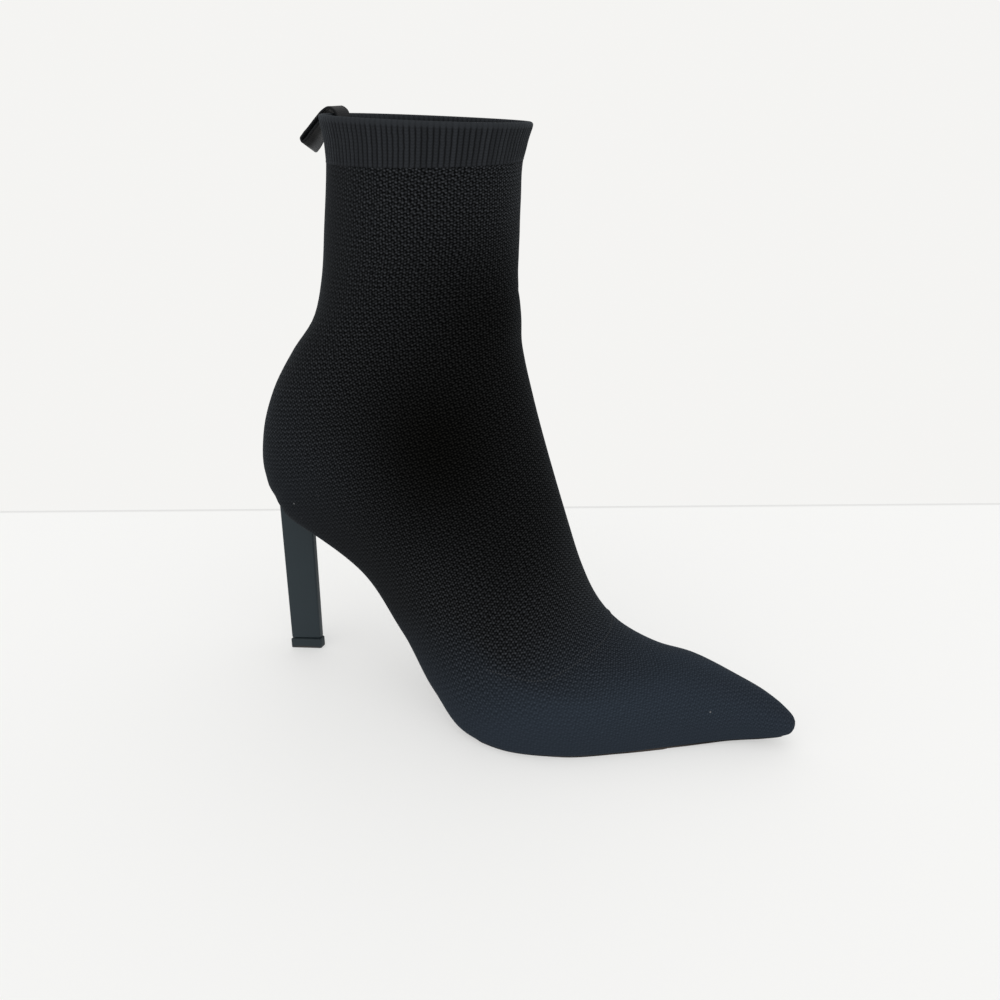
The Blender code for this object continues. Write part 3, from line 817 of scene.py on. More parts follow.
@dataclass(frozen=True)
class Finish:
    """What every finish has: a name, two colours and a shader with constant sheen and gloss."""

    name: str
    colour: Colour
    deep: Colour
    rough: float
    sheen: float = 0.0
    sheen_tint: Colour = (1.0, 1.0, 1.0)
    sheen_rough: float = 0.4
    gloss: float = 0.5

    def material(self) -> bpy.types.Material:
        """Make the material.

        Returns:
            The material, with its constants set and what varies linked.
        """
        material = bpy.data.materials.new(self.name)
        material.use_nodes = True
        shader = material.node_tree.nodes["Principled BSDF"]
        graph = Graph(material.node_tree)
        place = graph.node("ShaderNodeTexCoord").outputs["Object"]
        values: dict[str, Value] = {
            "Roughness": self.rough, "Sheen Weight": self.sheen, "Sheen Tint": (*self.sheen_tint, 1.0),
            "Sheen Roughness": self.sheen_rough, "Specular IOR Level": self.gloss,
        }
        for name, value in (values | self.draw(graph, place)).items():
            graph.put(shader.inputs[name], value)
        return material

    def draw(self, graph: Graph, place: Socket) -> dict[str, Socket]:
        """Draw what varies over the surface.

        Args:
            graph: the material's graph.
            place: object coordinates.

        Returns:
            Links for the shader's inputs, by name.
        """
        return {}

    def base(self, graph: Graph, share: Socket) -> Socket:
        """Blend from the deep colour to the full one."""
        return graph.blend(share, self.tint(self.deep), self.tint(self.colour))

    @staticmethod
    def use(graph: Graph, effect: Effect, **values: Value) -> dict[str, Socket]:
        """Put a shared effect into a material.

        Args:
            graph: the material's graph.
            effect: which effect.
            **values: its inputs by name.

        Returns:
            Its outputs by name.
        """
        made = graph.node("ShaderNodeGroup", node_tree=Effects.get(effect))
        for name, value in values.items():
            graph.put(made.inputs[name], value)
        return {socket.name: socket for socket in made.outputs}

    @staticmethod
    def tint(colour: Sequence[float], factor: float = 1.0) -> tuple[float, float, float, float]:
        """A colour, made lighter or darker, with full alpha."""
        return (colour[0] * factor, colour[1] * factor, colour[2] * factor, 1.0)


@dataclass(frozen=True)
class KnitFinish(Finish):
    """Matt knit whose loops stand up from darker gaps, with a soft nap at its edges."""

    pale: Colour = (0.030, 0.036, 0.048)    # the toe's own smoother, paler knit, with painted bluish sheen on it
    shade_colour: Colour = (0.006, 0.006, 0.005)     # painted shade, over the middle of the boot where it faces the camera
    effect: Effect = Effect.KNIT
    relief: float = 0.00030
    plain: float = 0.32    # tone of the gaps beside the yarn's, where the knit lies smooth
    lint: float = 0.08
    specks: tuple[Place, ...] = ()          # drawing places of the light flecks that the photograph shows

    def fleck(self, graph: Graph, place: Socket) -> Socket:
        """Mask of the light flecks.

        Args:
            graph: the material's graph.
            place: object coordinates.

        Returns:
            Mask from 0 to 1.
        """
        found: Value = 0.0
        for speck in self.specks:
            ends = {0: place, 1: tuple(Shop.to_part(np.array(speck)))}
            gap = graph.node("ShaderNodeVectorMath", ends, operation="DISTANCE").outputs["Value"]
            found = graph.math("MAXIMUM", found, graph.ramp(gap, 0.00050, 0.00022))
        return graph.times(found, 0.5)

    def draw(self, graph: Graph, place: Socket) -> dict[str, Socket]:
        """Draw the loops in the tones that the mesh attributes ask for.

        Args:
            graph: the material's graph.
            place: object coordinates.

        Returns:
            Links for the shader's inputs, by name.
        """
        tone = self.use(graph, Effect.TONE, Vector=place, Patch=26.0, Speck=150.0)
        yarn = graph.blend(tone["Tone"], self.tint(self.colour, 0.88), self.tint(self.colour, 1.12))
        gap: Value = self.tint(self.deep)
        if self.effect is Effect.KNIT:
            loops = self.use(graph, Effect.KNIT, Vector=graph.uv("knit"), Fine=graph.attribute("calm"))
            # painted shade: yarn and gaps darkened over the middle of the boot, where it faces the camera
            shade_share = graph.attribute("open")
            yarn = graph.blend(shade_share, yarn, self.tint(self.shade_colour))
            gap = graph.blend(shade_share, gap, self.tint(self.shade_colour, 0.02))
        else:
            loops = self.use(graph, Effect.RIB, Vector=graph.uv("knit"))
        # the toe's smoother, paler knit with painted sheen on it, and painted sheen low on the heel
        tight = graph.attribute("tight")
        yarn = graph.blend(tight, yarn, self.tint(self.pale))
        gap = graph.blend(tight, gap, self.tint(self.pale, self.plain))
        knit = graph.blend(loops["Grain"], gap, yarn)
        specks = graph.math("MAXIMUM", graph.times(tone["Lint"], self.lint), self.fleck(graph, place))
        fuzz = graph.times(tone["Speckle"], 0.20, loops["Height"])
        return {"Base Color": graph.blend(specks, knit, LINT),
                "Roughness": graph.ramp(tone["Speckle"], 0.3, 0.7, self.rough - 0.07, self.rough + 0.07),
                "Normal": graph.bump(fuzz, self.relief)}


@dataclass(frozen=True)
class CoverFinish(Finish):
    """Satin covering of the heel, faintly grained, with slow changes of gloss."""

    grain: float = 900.0
    relief: float = 0.00004

    def draw(self, graph: Graph, place: Socket) -> dict[str, Socket]:
        """Draw the grain and the changes of gloss.

        Args:
            graph: the material's graph.
            place: object coordinates.

        Returns:
            Links for the shader's inputs, by name.
        """
        tone = self.use(graph, Effect.TONE, Vector=place, Patch=60.0, Speck=220.0)
        lint = graph.times(tone["Lint"], 0.12)
        return {"Base Color": graph.blend(lint, self.base(graph, tone["Tone"]), LINT),
                "Roughness": graph.ramp(tone["Tone"], 0.3, 0.7, self.rough - 0.05, self.rough + 0.06),
                "Normal": graph.bump(graph.noise(place, self.grain, 3.0, 0.6), self.relief)}


@dataclass(frozen=True)
class SoleFinish(Finish):
    """Thin moulded sole, matt, paler and browner in patches where it meets the floor."""

    low_tint: Colour = (0.06, 0.05, 0.045)
    pressed: float = 0.0006
    grain: float = 1500.0
    relief: float = 0.00005

    def draw(self, graph: Graph, place: Socket) -> dict[str, Socket]:
        """Draw the paler patches near the floor and a fine grain.

        Args:
            graph: the material's graph.
            place: object coordinates.

        Returns:
            Links for the shader's inputs, by name.
        """
        tone = self.use(graph, Effect.TONE, Vector=place, Patch=42.0, Speck=260.0)
        low = graph.ramp(graph.split(place)[2], self.pressed * 2.5, self.pressed)
        low_patch = graph.times(low, graph.ramp(tone["Tone"], 0.42, 0.66))
        return {"Base Color": graph.blend(low_patch, self.base(graph, tone["Tone"]), self.tint(self.low_tint)),
                "Roughness": graph.ramp(low_patch, 0.0, 1.0, self.rough, min(1.0, self.rough + 0.2)),
                "Normal": graph.bump(graph.noise(place, self.grain), self.relief)}


@dataclass(frozen=True)
class RibbonFinish(Finish):
    """Satin ribbon with fine ribs across it and a smooth selvedge, with painted sheen that grows brighter
    toward its far edge.
    """

    ribs: float = 70.0
    relief: float = 0.00003

    def draw(self, graph: Graph, place: Socket) -> dict[str, Socket]:
        """Draw the ribs and the painted sheen toward the far edge on the ribbon's own UV map.

        Args:
            graph: the material's graph.
            place: object coordinates.

        Returns:
            Links for the shader's inputs, by name.
        """
        across, along, _ = graph.split(graph.uv("ribbon"))
        ribs = graph.times(graph.cosine(graph.times(along, self.ribs)), 0.5, 0.5)
        middle = graph.math("ABSOLUTE", graph.math("SUBTRACT", across, 0.5))
        inside = graph.ramp(middle, 0.45, 0.40)
        # painted sheen: the hanging part drawn brighter toward the far edge
        far = graph.times(graph.ramp(across, 0.30, 0.80), graph.ramp(along, 0.40, 0.52))
        return {"Base Color": self.base(graph, far),
                "Roughness": graph.ramp(inside, 0.0, 1.0, self.rough + 0.1, self.rough),
                "Normal": graph.bump(graph.times(ribs, inside), self.relief)}


@dataclass(frozen=True)
class ThreadFinish(Finish):
    """Slightly shiny thread of the tuck stitches."""

    def draw(self, graph: Graph, place: Socket) -> dict[str, Socket]:
        """Draw an uneven tone."""
        return {"Base Color": self.base(graph, graph.noise(place, 1800.0, 2.0))}


@dataclass(frozen=True)
class LiningFinish(Finish):
    """Brushed sock lining on the insole."""

    relief: float = 0.00015

    def draw(self, graph: Graph, place: Socket) -> dict[str, Socket]:
        """Draw the brushed nap.

        Args:
            graph: the material's graph.
            place: object coordinates.

        Returns:
            Links for the shader's inputs, by name.
        """
        tone = self.use(graph, Effect.TONE, Vector=place, Patch=30.0, Speck=180.0)
        return {"Base Color": self.base(graph, tone["Tone"]),
                "Roughness": graph.ramp(tone["Speckle"], 0.3, 0.7, self.rough - 0.08, self.rough),
                "Normal": graph.bump(tone["Speckle"], self.relief)}


# the dim tone is painted shade over the middle of the boot, where it faces the camera
# the pale tone is the toe's smoother knit with painted bluish sheen on it
KNIT = KnitFinish("bird_eye_knit", (0.0455, 0.0490, 0.0550), (0.0022, 0.0023, 0.0025), 0.88, sheen=0.045,
                  sheen_tint=(0.74, 0.88, 1.0), sheen_rough=0.32, gloss=0.02, pale=(0.0490, 0.0650, 0.0890),
                  shade_colour=(0.0098, 0.0096, 0.0086),
                  specks=((23.8, -29.0, 90.4), (26.4, -27.8, 83.7), (205.0, -6.9, 17.7)))
RIB = KnitFinish("rib_knit", (0.0270, 0.0295, 0.0340), (0.0085, 0.0090, 0.0100), 0.88, sheen=0.05,
                 sheen_tint=(0.74, 0.88, 1.0), sheen_rough=0.32, gloss=0.03, pale=(0.0285, 0.0315, 0.0360),
                 effect=Effect.RIB, relief=0.00010, plain=0.85)
TUCK = ThreadFinish("tuck_stitch", (0.058, 0.063, 0.070), (0.020, 0.021, 0.023), 0.80, gloss=0.1)
COVER = CoverFinish("heel_cover", (0.0195, 0.0305, 0.0375), (0.0165, 0.0270, 0.0335), 0.42, gloss=0.25)
LIFT = SoleFinish("heel_tip_rubber", (0.0225, 0.0330, 0.0390), (0.0190, 0.0285, 0.0340), 0.58, gloss=0.25)
SOLE = SoleFinish("sole_skin", (0.014, 0.012, 0.011), (0.009, 0.0078, 0.0072), 0.70, gloss=0.15)
LINING = LiningFinish("sock_lining", (0.018, 0.017, 0.016), (0.011, 0.0105, 0.010), 0.90, gloss=0.2)
# colour is the painted satin sheen toward the far edge; deep is the ribbon's own dark tone
RIBBON = RibbonFinish("satin_ribbon", (0.150, 0.154, 0.162), (0.010, 0.0105, 0.012), 0.50, gloss=0.10)


class Crease(NamedTuple):
    """A soft trough in the knit."""

    along: float      # middle, in millimetres from the toe tip
    round_at: float   # middle, as a share of the way round
    length: float     # half length round, as a share
    width: float      # half width along, in millimetres
    lean: float       # how far it leans, in millimetres along per share round
    depth: float      # trough below 0, ridge above 0


CREASES: tuple[Crease, ...] = (
    Crease(228.0, 0.50, 0.12, 6.0, 30.0, -0.16),     # soft fold at the front of the ankle
    Crease(246.0, 0.50, 0.11, 8.0, -20.0, 0.14),     # swell over it
    Crease(300.0, 0.16, 0.10, 14.0, -90.0, -0.30),   # hollow beside the tendon, outer side
    Crease(300.0, 0.84, 0.10, 14.0, 90.0, -0.30),    # the same, inner side
)


@dataclass
class KnitUpper:
    """The knitted sock: its body and its ribbed cuff."""

    last: Last
    wall: float = 1.6
    columns: int = 208
    row_step: float = 2.3
    toe_step: float = 0.35
    ribs: int = 112
    rib_columns: int = 8
    rib_height: float = 0.30
    cuff_step: float = 0.5
    cuff_rows: int = 8
    inner_lap: float = 0.15
    loop_height: float = 1.1
    skirt_depth: float = 2.3
    skirt_toe: float = 1.3
    cuff_lift: float = 1.8
    shade_spots: tuple[tuple[float, ...], ...] = (   # X, Z, reach along both, and how dark the painted shade is
        (93.0, 126.0, 44.0, 54.0, 1.0), (108.0, 176.0, 22.0, 32.0, 0.7), (126.0, 88.0, 22.0, 30.0, 0.5),
    )
    toe_zone: tuple[tuple[float, float], ...] = (   # share round and place along of the tuck line
        (0.0, 168.0), (0.10, 152.0), (0.205, 132.3), (0.245, 110.6), (0.278, 103.6), (0.36, 95.8),
        (0.5, 90.5),
    )
    toe_tone: Fade = Fade(33.0, -51.0)        # from behind the tuck line to before it
    toe_rows: Fade = Fade(0.0, 26.0)          # rows grow from the closest ones at the tip
    toe_wall: Fade = Fade(0.0, 5.0)           # wall grows from a thin one at the tip
    heel_rows: tuple[float, float, float] = (252.0, 9.0, 0.55)   # place, reach and how much closer they are
    heel_sheen: tuple[float, float, float] = (258.0, 26.0, 0.16)  # painted sheen at the heel: place, reach and share of the toe's tone
    heel_sheen_round: Fade = Fade(0.26, 0.05)
    low_round: Fade = Fade(0.22, 0.03)        # calm lower edge
    low_along: Fade = Fade(282.0, 258.0)
    back_round: Fade = Fade(0.28, 0.10)       # calm back, calmest under the cuff
    back_along: Fade = Fade(226.0, 262.0)
    shaft_along: Fade = Fade(270.0, 335.0)
    seam_round: Fade = Fade(0.05, 0.15)       # ribs are low at the back seam
    skirt_grow: Fade = Fade(4.0, 30.0)
    skirt_start: Fade = Fade(1.0, 9.0)
    skirt_end: Fade = Fade(249.0, 240.0)
    skirt_round: Fade = Fade(0.085, 0.012)

    def places(self) -> np.ndarray:
        """Places of the body's rows, closest at the toe and round the heel.

        Returns:
            Places along the boot up to just inside the cuff.
        """
        end = self.last.knots[CUFF_ROW] + self.cuff_lift + 1.0
        out = [0.0]
        while out[-1] < end:
            here = out[-1]
            step = self.toe_step + (self.row_step - self.toe_step) * float(self.toe_rows.at(np.array(here)))
            middle, reach, closer = self.heel_rows
            out.append(here + step * (1.0 - closer * math.exp(-((here - middle) / reach)**2)))
        out = [place for place in out if place < end - 0.6]
        near_end = [place for place in out if min(abs(place - stop) for stop in self.last.ends) > 0.4]
        return np.array(sorted(near_end + list(self.last.ends) + [end]))

    def relief(self, where: np.ndarray, shares: np.ndarray) -> np.ndarray:
        """Height of the listed creases over the smooth knit.

        Args:
            where: places along the boot.
            shares: places round it.

        Returns:
            Height in millimetres for every point of the net.
        """
        height = np.zeros((len(where), len(shares)))
        for crease in CREASES:
            aside = (shares - crease.round_at) / crease.length
            line = crease.along + crease.lean * (shares - crease.round_at)
            across = (where[:, None] - line[None, :]) / crease.width
            height += crease.depth * np.exp(-across**2) * np.exp(-aside**2)[None, :]
        return height

    def toe_share(self, where: np.ndarray, aside: np.ndarray) -> np.ndarray:
        """How far the toe's knit has taken over, from behind the tuck line forward."""
        front = np.interp(aside, *np.array(self.toe_zone).T)[None, :]
        return self.toe_tone.at(where[:, None] - front)

    def smoothness_and_sheen(self, where: np.ndarray, shares: np.ndarray) -> np.ndarray:
        """How far the knit takes the toe's paler tone: most at the toe, whose smoother knit also carries
        painted sheen, less along the toe's top as painted shade, and a little low on the heel as painted
        sheen.

        Args:
            where: places along the boot.
            shares: places round it.

        Returns:
            Shares from 0 to 1 for every point of the net.
        """
        aside = np.minimum(shares, 1.0 - shares)
        # painted shade: less of the pale tone along the toe's top than on its sides
        top = 1.0 - 0.22 * np.exp(-((aside - 0.42) / 0.10)**2)[None, :]
        # painted sheen low on the heel
        middle, reach, share = self.heel_sheen
        heel = self.heel_sheen_round.at(aside)[None, :] * np.exp(-((where[:, None] - middle) / reach)**2)
        return np.clip(np.maximum(self.toe_share(where, aside) * top, share * heel), 0.0, 1.0)

    def calmness(self, where: np.ndarray, shares: np.ndarray) -> np.ndarray:
        """How little the loops show: least at the toe, along the lower edge and at the back.

        Args:
            where: places along the boot.
            shares: places round it.

        Returns:
            Shares from 0 to 1 for every point of the net.
        """
        aside = np.minimum(shares, 1.0 - shares)
        low = self.low_round.at(aside)[None, :]
        edge = low * self.low_along.at(where)[:, None]
        back = self.back_round.at(aside)[None, :] * self.back_along.at(where)[:, None]
        back = back * (0.45 + 0.55 * self.shaft_along.at(where)[:, None])
        toe = self.toe_share(where, aside) * (0.70 + 0.30 * low)
        return np.clip(np.maximum(toe, np.maximum(0.95 * edge, back)), 0.0, 1.0)

    def painted_shade_share(self, points: np.ndarray) -> np.ndarray:
        """How much painted shade darkens the knit, over the middle of the boot where it faces the camera.

        Args:
            points: net of drawing points.

        Returns:
            Shares from 0 to 1 for every point.
        """
        shut = np.ones(points.shape[:-1])
        for x, z, reach, rise, share in self.shade_spots:
            along, up = (points[..., 0] - x) / reach, (points[..., 2] - z) / rise
            shut *= 1.0 - share * np.exp(-along**2 - up**2)
        return 1.0 - shut

    def skirt(self, where: np.ndarray, shares: np.ndarray) -> np.ndarray:
        """How the lower edge is drawn down over the sole's edge.

        Args:
            where: places along the boot.
            shares: places round it.

        Returns:
            Offsets of the net's points in millimetres.
        """
        value = self.last.at(where)
        slope = unit(np.gradient(np.stack([value["x_low"], value["z_low"]], axis=1), where, axis=0))
        drop = self.skirt_toe + (self.skirt_depth - self.skirt_toe) * self.skirt_grow.at(where)
        drop = drop * self.skirt_start.at(where) * self.skirt_end.at(where)
        share = self.skirt_round.at(np.minimum(shares, 1.0 - shares))
        down = np.stack([-slope[:, 1], np.zeros(len(where)), slope[:, 0]], axis=1) * drop[:, None]
        return down[:, None, :] * share[None, :, None]

    def body(self) -> bpy.types.Object:
        """Make the sock's body, open at the cuff and underneath.

        Returns:
            The body as a shell with its wall.
        """
        where = self.places()
        strip = self.last.strip_share
        even = np.linspace(0.0, 1.0, self.columns + 1)
        even = even[(even > strip * 1.2) & (even < 1 - strip * 1.2)]
        ends = np.array([0.0, strip / 2, strip])
        shares = np.unique(np.concatenate([ends, even, 1 - ends]))
        points = self.last.skin(where, shares)
        points += self.last.outward(points) * self.relief(where, shares)[..., None]
        points += self.skirt(where, shares)
        points[0] = points[0].mean(axis=0)
        uv = KnitFlow(self.last).counts(points, int(np.argmin(np.abs(shares - 0.5))))
        piece = Shop.net("knit_upper", points, uv, "knit")
        # the toe's smoother knit with painted sheen on it, and painted sheen low on the heel
        Shop.mark(piece, "tight", self.smoothness_and_sheen(where, shares))
        Shop.mark(piece, "calm", self.calmness(where, shares))
        # painted shade over the middle of the boot, where it faces the camera
        Shop.mark(piece, "open", self.painted_shade_share(points))
        group = piece.vertex_groups.new(name="wall")
        thick = np.clip(0.10 + 0.90 * self.toe_wall.at(where), 0.0, 1.0)
        for row, share in enumerate(thick):
            group.add(list(range(row * len(shares), (row + 1) * len(shares))), float(share), "REPLACE")
        Shop.merge(piece)
        Shop.apply(piece, "SOLIDIFY", thickness=self.wall * MM, offset=-1.0, use_rim=True,
                   use_even_offset=False, vertex_group="wall", thickness_vertex_group=0.0)
        piece.data.materials.append(KNIT.material())
        return piece

    def cuff(self) -> bpy.types.Object:
        """Make the ribbed cuff as a closed ring whose ribs stand up on both faces.

        Returns:
            The cuff.
        """
        base, top = self.last.knots[CUFF_ROW] + self.cuff_lift, self.last.knots[-1]
        thick = self.cuff_step + self.wall + self.inner_lap
        middle = 0.5 * (self.cuff_step - self.wall - self.inner_lap)
        lip = 0.5 * thick
        profile = [(-0.35, -0.9, 0.0), (-0.32, 0.02, 0.0), (-0.1, 0.16, 0.0), (0.2, 0.18, 0.0),
                   (0.5, 0.10, 0.3), (1.1, 0.14, 0.9), (2.2, 0.25, 1.0), (4.0, 0.42, 1.0), (6.0, 0.5, 1.0)]
        rim_from = top - base - lip
        climb = np.linspace(6.0, rim_from, self.cuff_rows)[1:]
        fade = 1.0 - 0.8 * Fade(rim_from - 1.2, rim_from).at(climb)
        profile += [(float(rise), self.cuff_step, float(share)) for rise, share in zip(climb, fade)]
        for angle in np.linspace(0.0, math.pi, 9)[1:-1]:
            keep = 0.20 - 0.15 * math.sin(angle)
            profile.append((rim_from + lip * math.sin(angle), middle + lip * math.cos(angle), keep))
        inside = -self.wall - self.inner_lap
        profile += [(float(rise), inside, 1.0) for rise in climb[::-1][::2]]
        profile += [(1.0, inside, 0.7), (0.0, inside + 0.1, 0.2), (-0.35, -0.9, 0.0)]
        rises, offsets, strengths = np.array(profile).T
        shares = np.linspace(0.0, 1.0, self.ribs * self.rib_columns + 1)
        where = base + rises
        points = self.last.skin(where, shares)
        steady = np.linspace(base - 1.0, top, 24)
        directions = self.last.outward(self.last.skin(steady, shares))
        spot = np.clip((where - steady[0]) / (steady[1] - steady[0]), 0.0, len(steady) - 1.001)
        low = spot.astype(int)
        mix = (spot - low)[:, None, None]
        direction = unit(directions[low] * (1 - mix) + directions[low + 1] * mix)
        aside = np.minimum(shares, 1.0 - shares)
        wave = np.abs(np.sin(math.pi * self.ribs * shares))**0.7
        rib = self.rib_height * (wave - 0.55) * (0.35 + 0.65 * self.seam_round.at(aside))
        side = np.where(offsets > middle, 1.0, -0.8)
        height = offsets[:, None] + (side * strengths)[:, None] * rib[None, :]
        points += direction * height[..., None]
        points[:, -1] = points[:, 0]
        run = np.concatenate([[0.0], np.cumsum(np.hypot(np.diff(rises), np.diff(offsets)))])
        uv = np.stack(np.meshgrid(shares * self.ribs, run / self.loop_height), axis=-1)
        piece = Shop.net("knit_cuff", points, uv, "knit")
        rim = 0.9 * Fade(rim_from - 1.0, rim_from + 0.1).at(rises)
        back = 0.7 * (1.0 - self.seam_round.at(aside))
        Shop.mark(piece, "tight", np.maximum(rim[:, None], back[None, :]))
        Shop.merge(piece)
        Shop.face_out(piece)
        piece.data.materials.append(RIB.material())
        return piece

    def build(self) -> bpy.types.Object:
        """Make the whole upper.

        Returns:
            The finished piece.
        """
        piece = Shop.join(self.body(), [self.cuff()])
        Shop.smooth(piece, 55.0)
        return Shop.seat(piece, "upper", ["upper"])


@dataclass
class TuckLine:
    """The dotted line of tuck stitches over the vamp, where the toe's smoother knit begins."""

    last: Last
    pitch: float = 1.25
    size: float = 0.34
    path: tuple[tuple[float, float], ...] = (
        (132.3, 0.205), (120.8, 0.230), (110.6, 0.245), (103.6, 0.278), (95.8, 0.360), (90.5, 0.500),
    )

    def build(self) -> bpy.types.Object:
        """Set one small bead per stitch along the line and its mirror image on the inner side.

        Returns:
            The finished piece.
        """
        half = np.array(self.path)
        line = np.concatenate([half, half[-2::-1] * (1.0, -1.0) + (0.0, 1.0)])
        knots = np.arange(len(line), dtype=float)
        line = curve_through(knots, line, np.linspace(0.0, knots[-1], 240), smooth=True)
        order = np.argsort(line[:, 1])
        line = line[order]
        spots = np.array([self.last.skin(line[i:i + 1, 0], line[i:i + 1, 1])[0, 0] for i in range(len(line))])
        run = np.concatenate([[0.0], np.cumsum(np.linalg.norm(np.diff(spots, axis=0), axis=1))])
        beads = np.arange(0.5 * self.pitch, run[-1], self.pitch)
        spots = np.stack([np.interp(beads, run, spots[:, axis]) for axis in range(3)], axis=1)
        bead = {"subdivisions": 2, "radius": self.size * MM}
        Shop.clear_selection()
        bpy.ops.mesh.primitive_ico_sphere_add(location=Shop.to_part(spots[0]), **bead)
        piece = bpy.context.active_object
        piece.name = piece.data.name = "tuck_stitches"
        bpy.ops.object.transform_apply(location=True, rotation=True, scale=True)
        with Shop.editing(piece):
            for spot in spots[1:]:
                bpy.ops.mesh.primitive_ico_sphere_add(location=Shop.to_part(spot), **bead)
        piece.data.materials.append(TUCK.material())
        Shop.smooth(piece, 60.0)
        return Shop.seat(piece, "upper")


@dataclass
class SolePlates:
    """The thin outsole under the foot and the insole inside it."""

    last: Last
    seam: float = 0.3
    outsole_thick: float = 2.5
    toe_thick: float = 1.5
    taper: float = 26.0
    outsole_lap: float = 1.6
    outsole_bevel: float = 0.45
    tread_press: float = 0.35
    insole_thick: float = 2.3
    insole_clear: float = 1.1
    insole_end: float = 7.0
    columns: int = 14

    def plate(self, name: str, top: float, thick: float, toe_thick: float, offset: float, least: float,
              round_over: float) -> bpy.types.Object:
        """Make one plate that follows the bottom line.

        Args:
            name: name of the piece.
            top: height of its upper face over the bottom line.
            thick: its thickness.
            toe_thick: its thickness at the toe.
            offset: reach past the opening's edge.
            least: opening half width at which it ends.
            round_over: radius of its edges.

        Returns:
            The plate as a closed mesh.
        """
        under = Underside(self.last)
        outer, inner = under.edges(offset, least)
        share = np.linspace(0.0, 1.0, self.columns + 1)[None, :, None]
        flat = outer[:, None, :] + (inner - outer)[:, None, :] * share
        faces = []
        toe = np.clip(1.0 - flat[..., 0] / self.taper, 0.0, 1.0)
        for height in (np.full(toe.shape, top), top - thick + (thick - toe_thick) * toe):
            spot = under.point(flat[..., 0], height)
            faces.append(np.stack([spot[..., 0], flat[..., 1], spot[..., 1]], axis=-1))
        faces[1][..., 2] = np.where(faces[1][..., 2] < self.tread_press, 0.0, faces[1][..., 2])
        ring = np.concatenate([faces[0], faces[1][:, ::-1]], axis=1)
        ring = np.concatenate([ring, ring[:, :1]], axis=1)
        piece = Shop.net(name, ring, Shop.even_uv(ring), "plate")
        Shop.merge(piece)
        with Shop.editing(piece, "DESELECT"):
            bpy.ops.mesh.select_mode(type="EDGE")
            bpy.ops.mesh.select_non_manifold()
            bpy.ops.mesh.fill_holes(sides=0)
        Shop.face_out(piece)
        Shop.round_edges(piece, round_over, 3, 50.0)
        return piece

    def build(self) -> list[bpy.types.Object]:
        """Make both plates.

        Returns:
            The outsole and the insole.
        """
        outsole = self.plate("sole_outer", -self.seam, self.outsole_thick, self.toe_thick, self.outsole_lap,
                             0.0, self.outsole_bevel)
        outsole.data.materials.append(SOLE.material())
        insole = self.plate("sole_inner", self.insole_thick, self.insole_thick, self.insole_thick,
                            -self.insole_clear, self.insole_end, 0.5)
        insole.data.materials.append(LINING.material())
        for piece in (outsole, insole):
            Shop.smooth(piece, 40.0)
        return [Shop.seat(outsole, "outsole", ["outsole"]), Shop.seat(insole, "insole", ["insole"])]


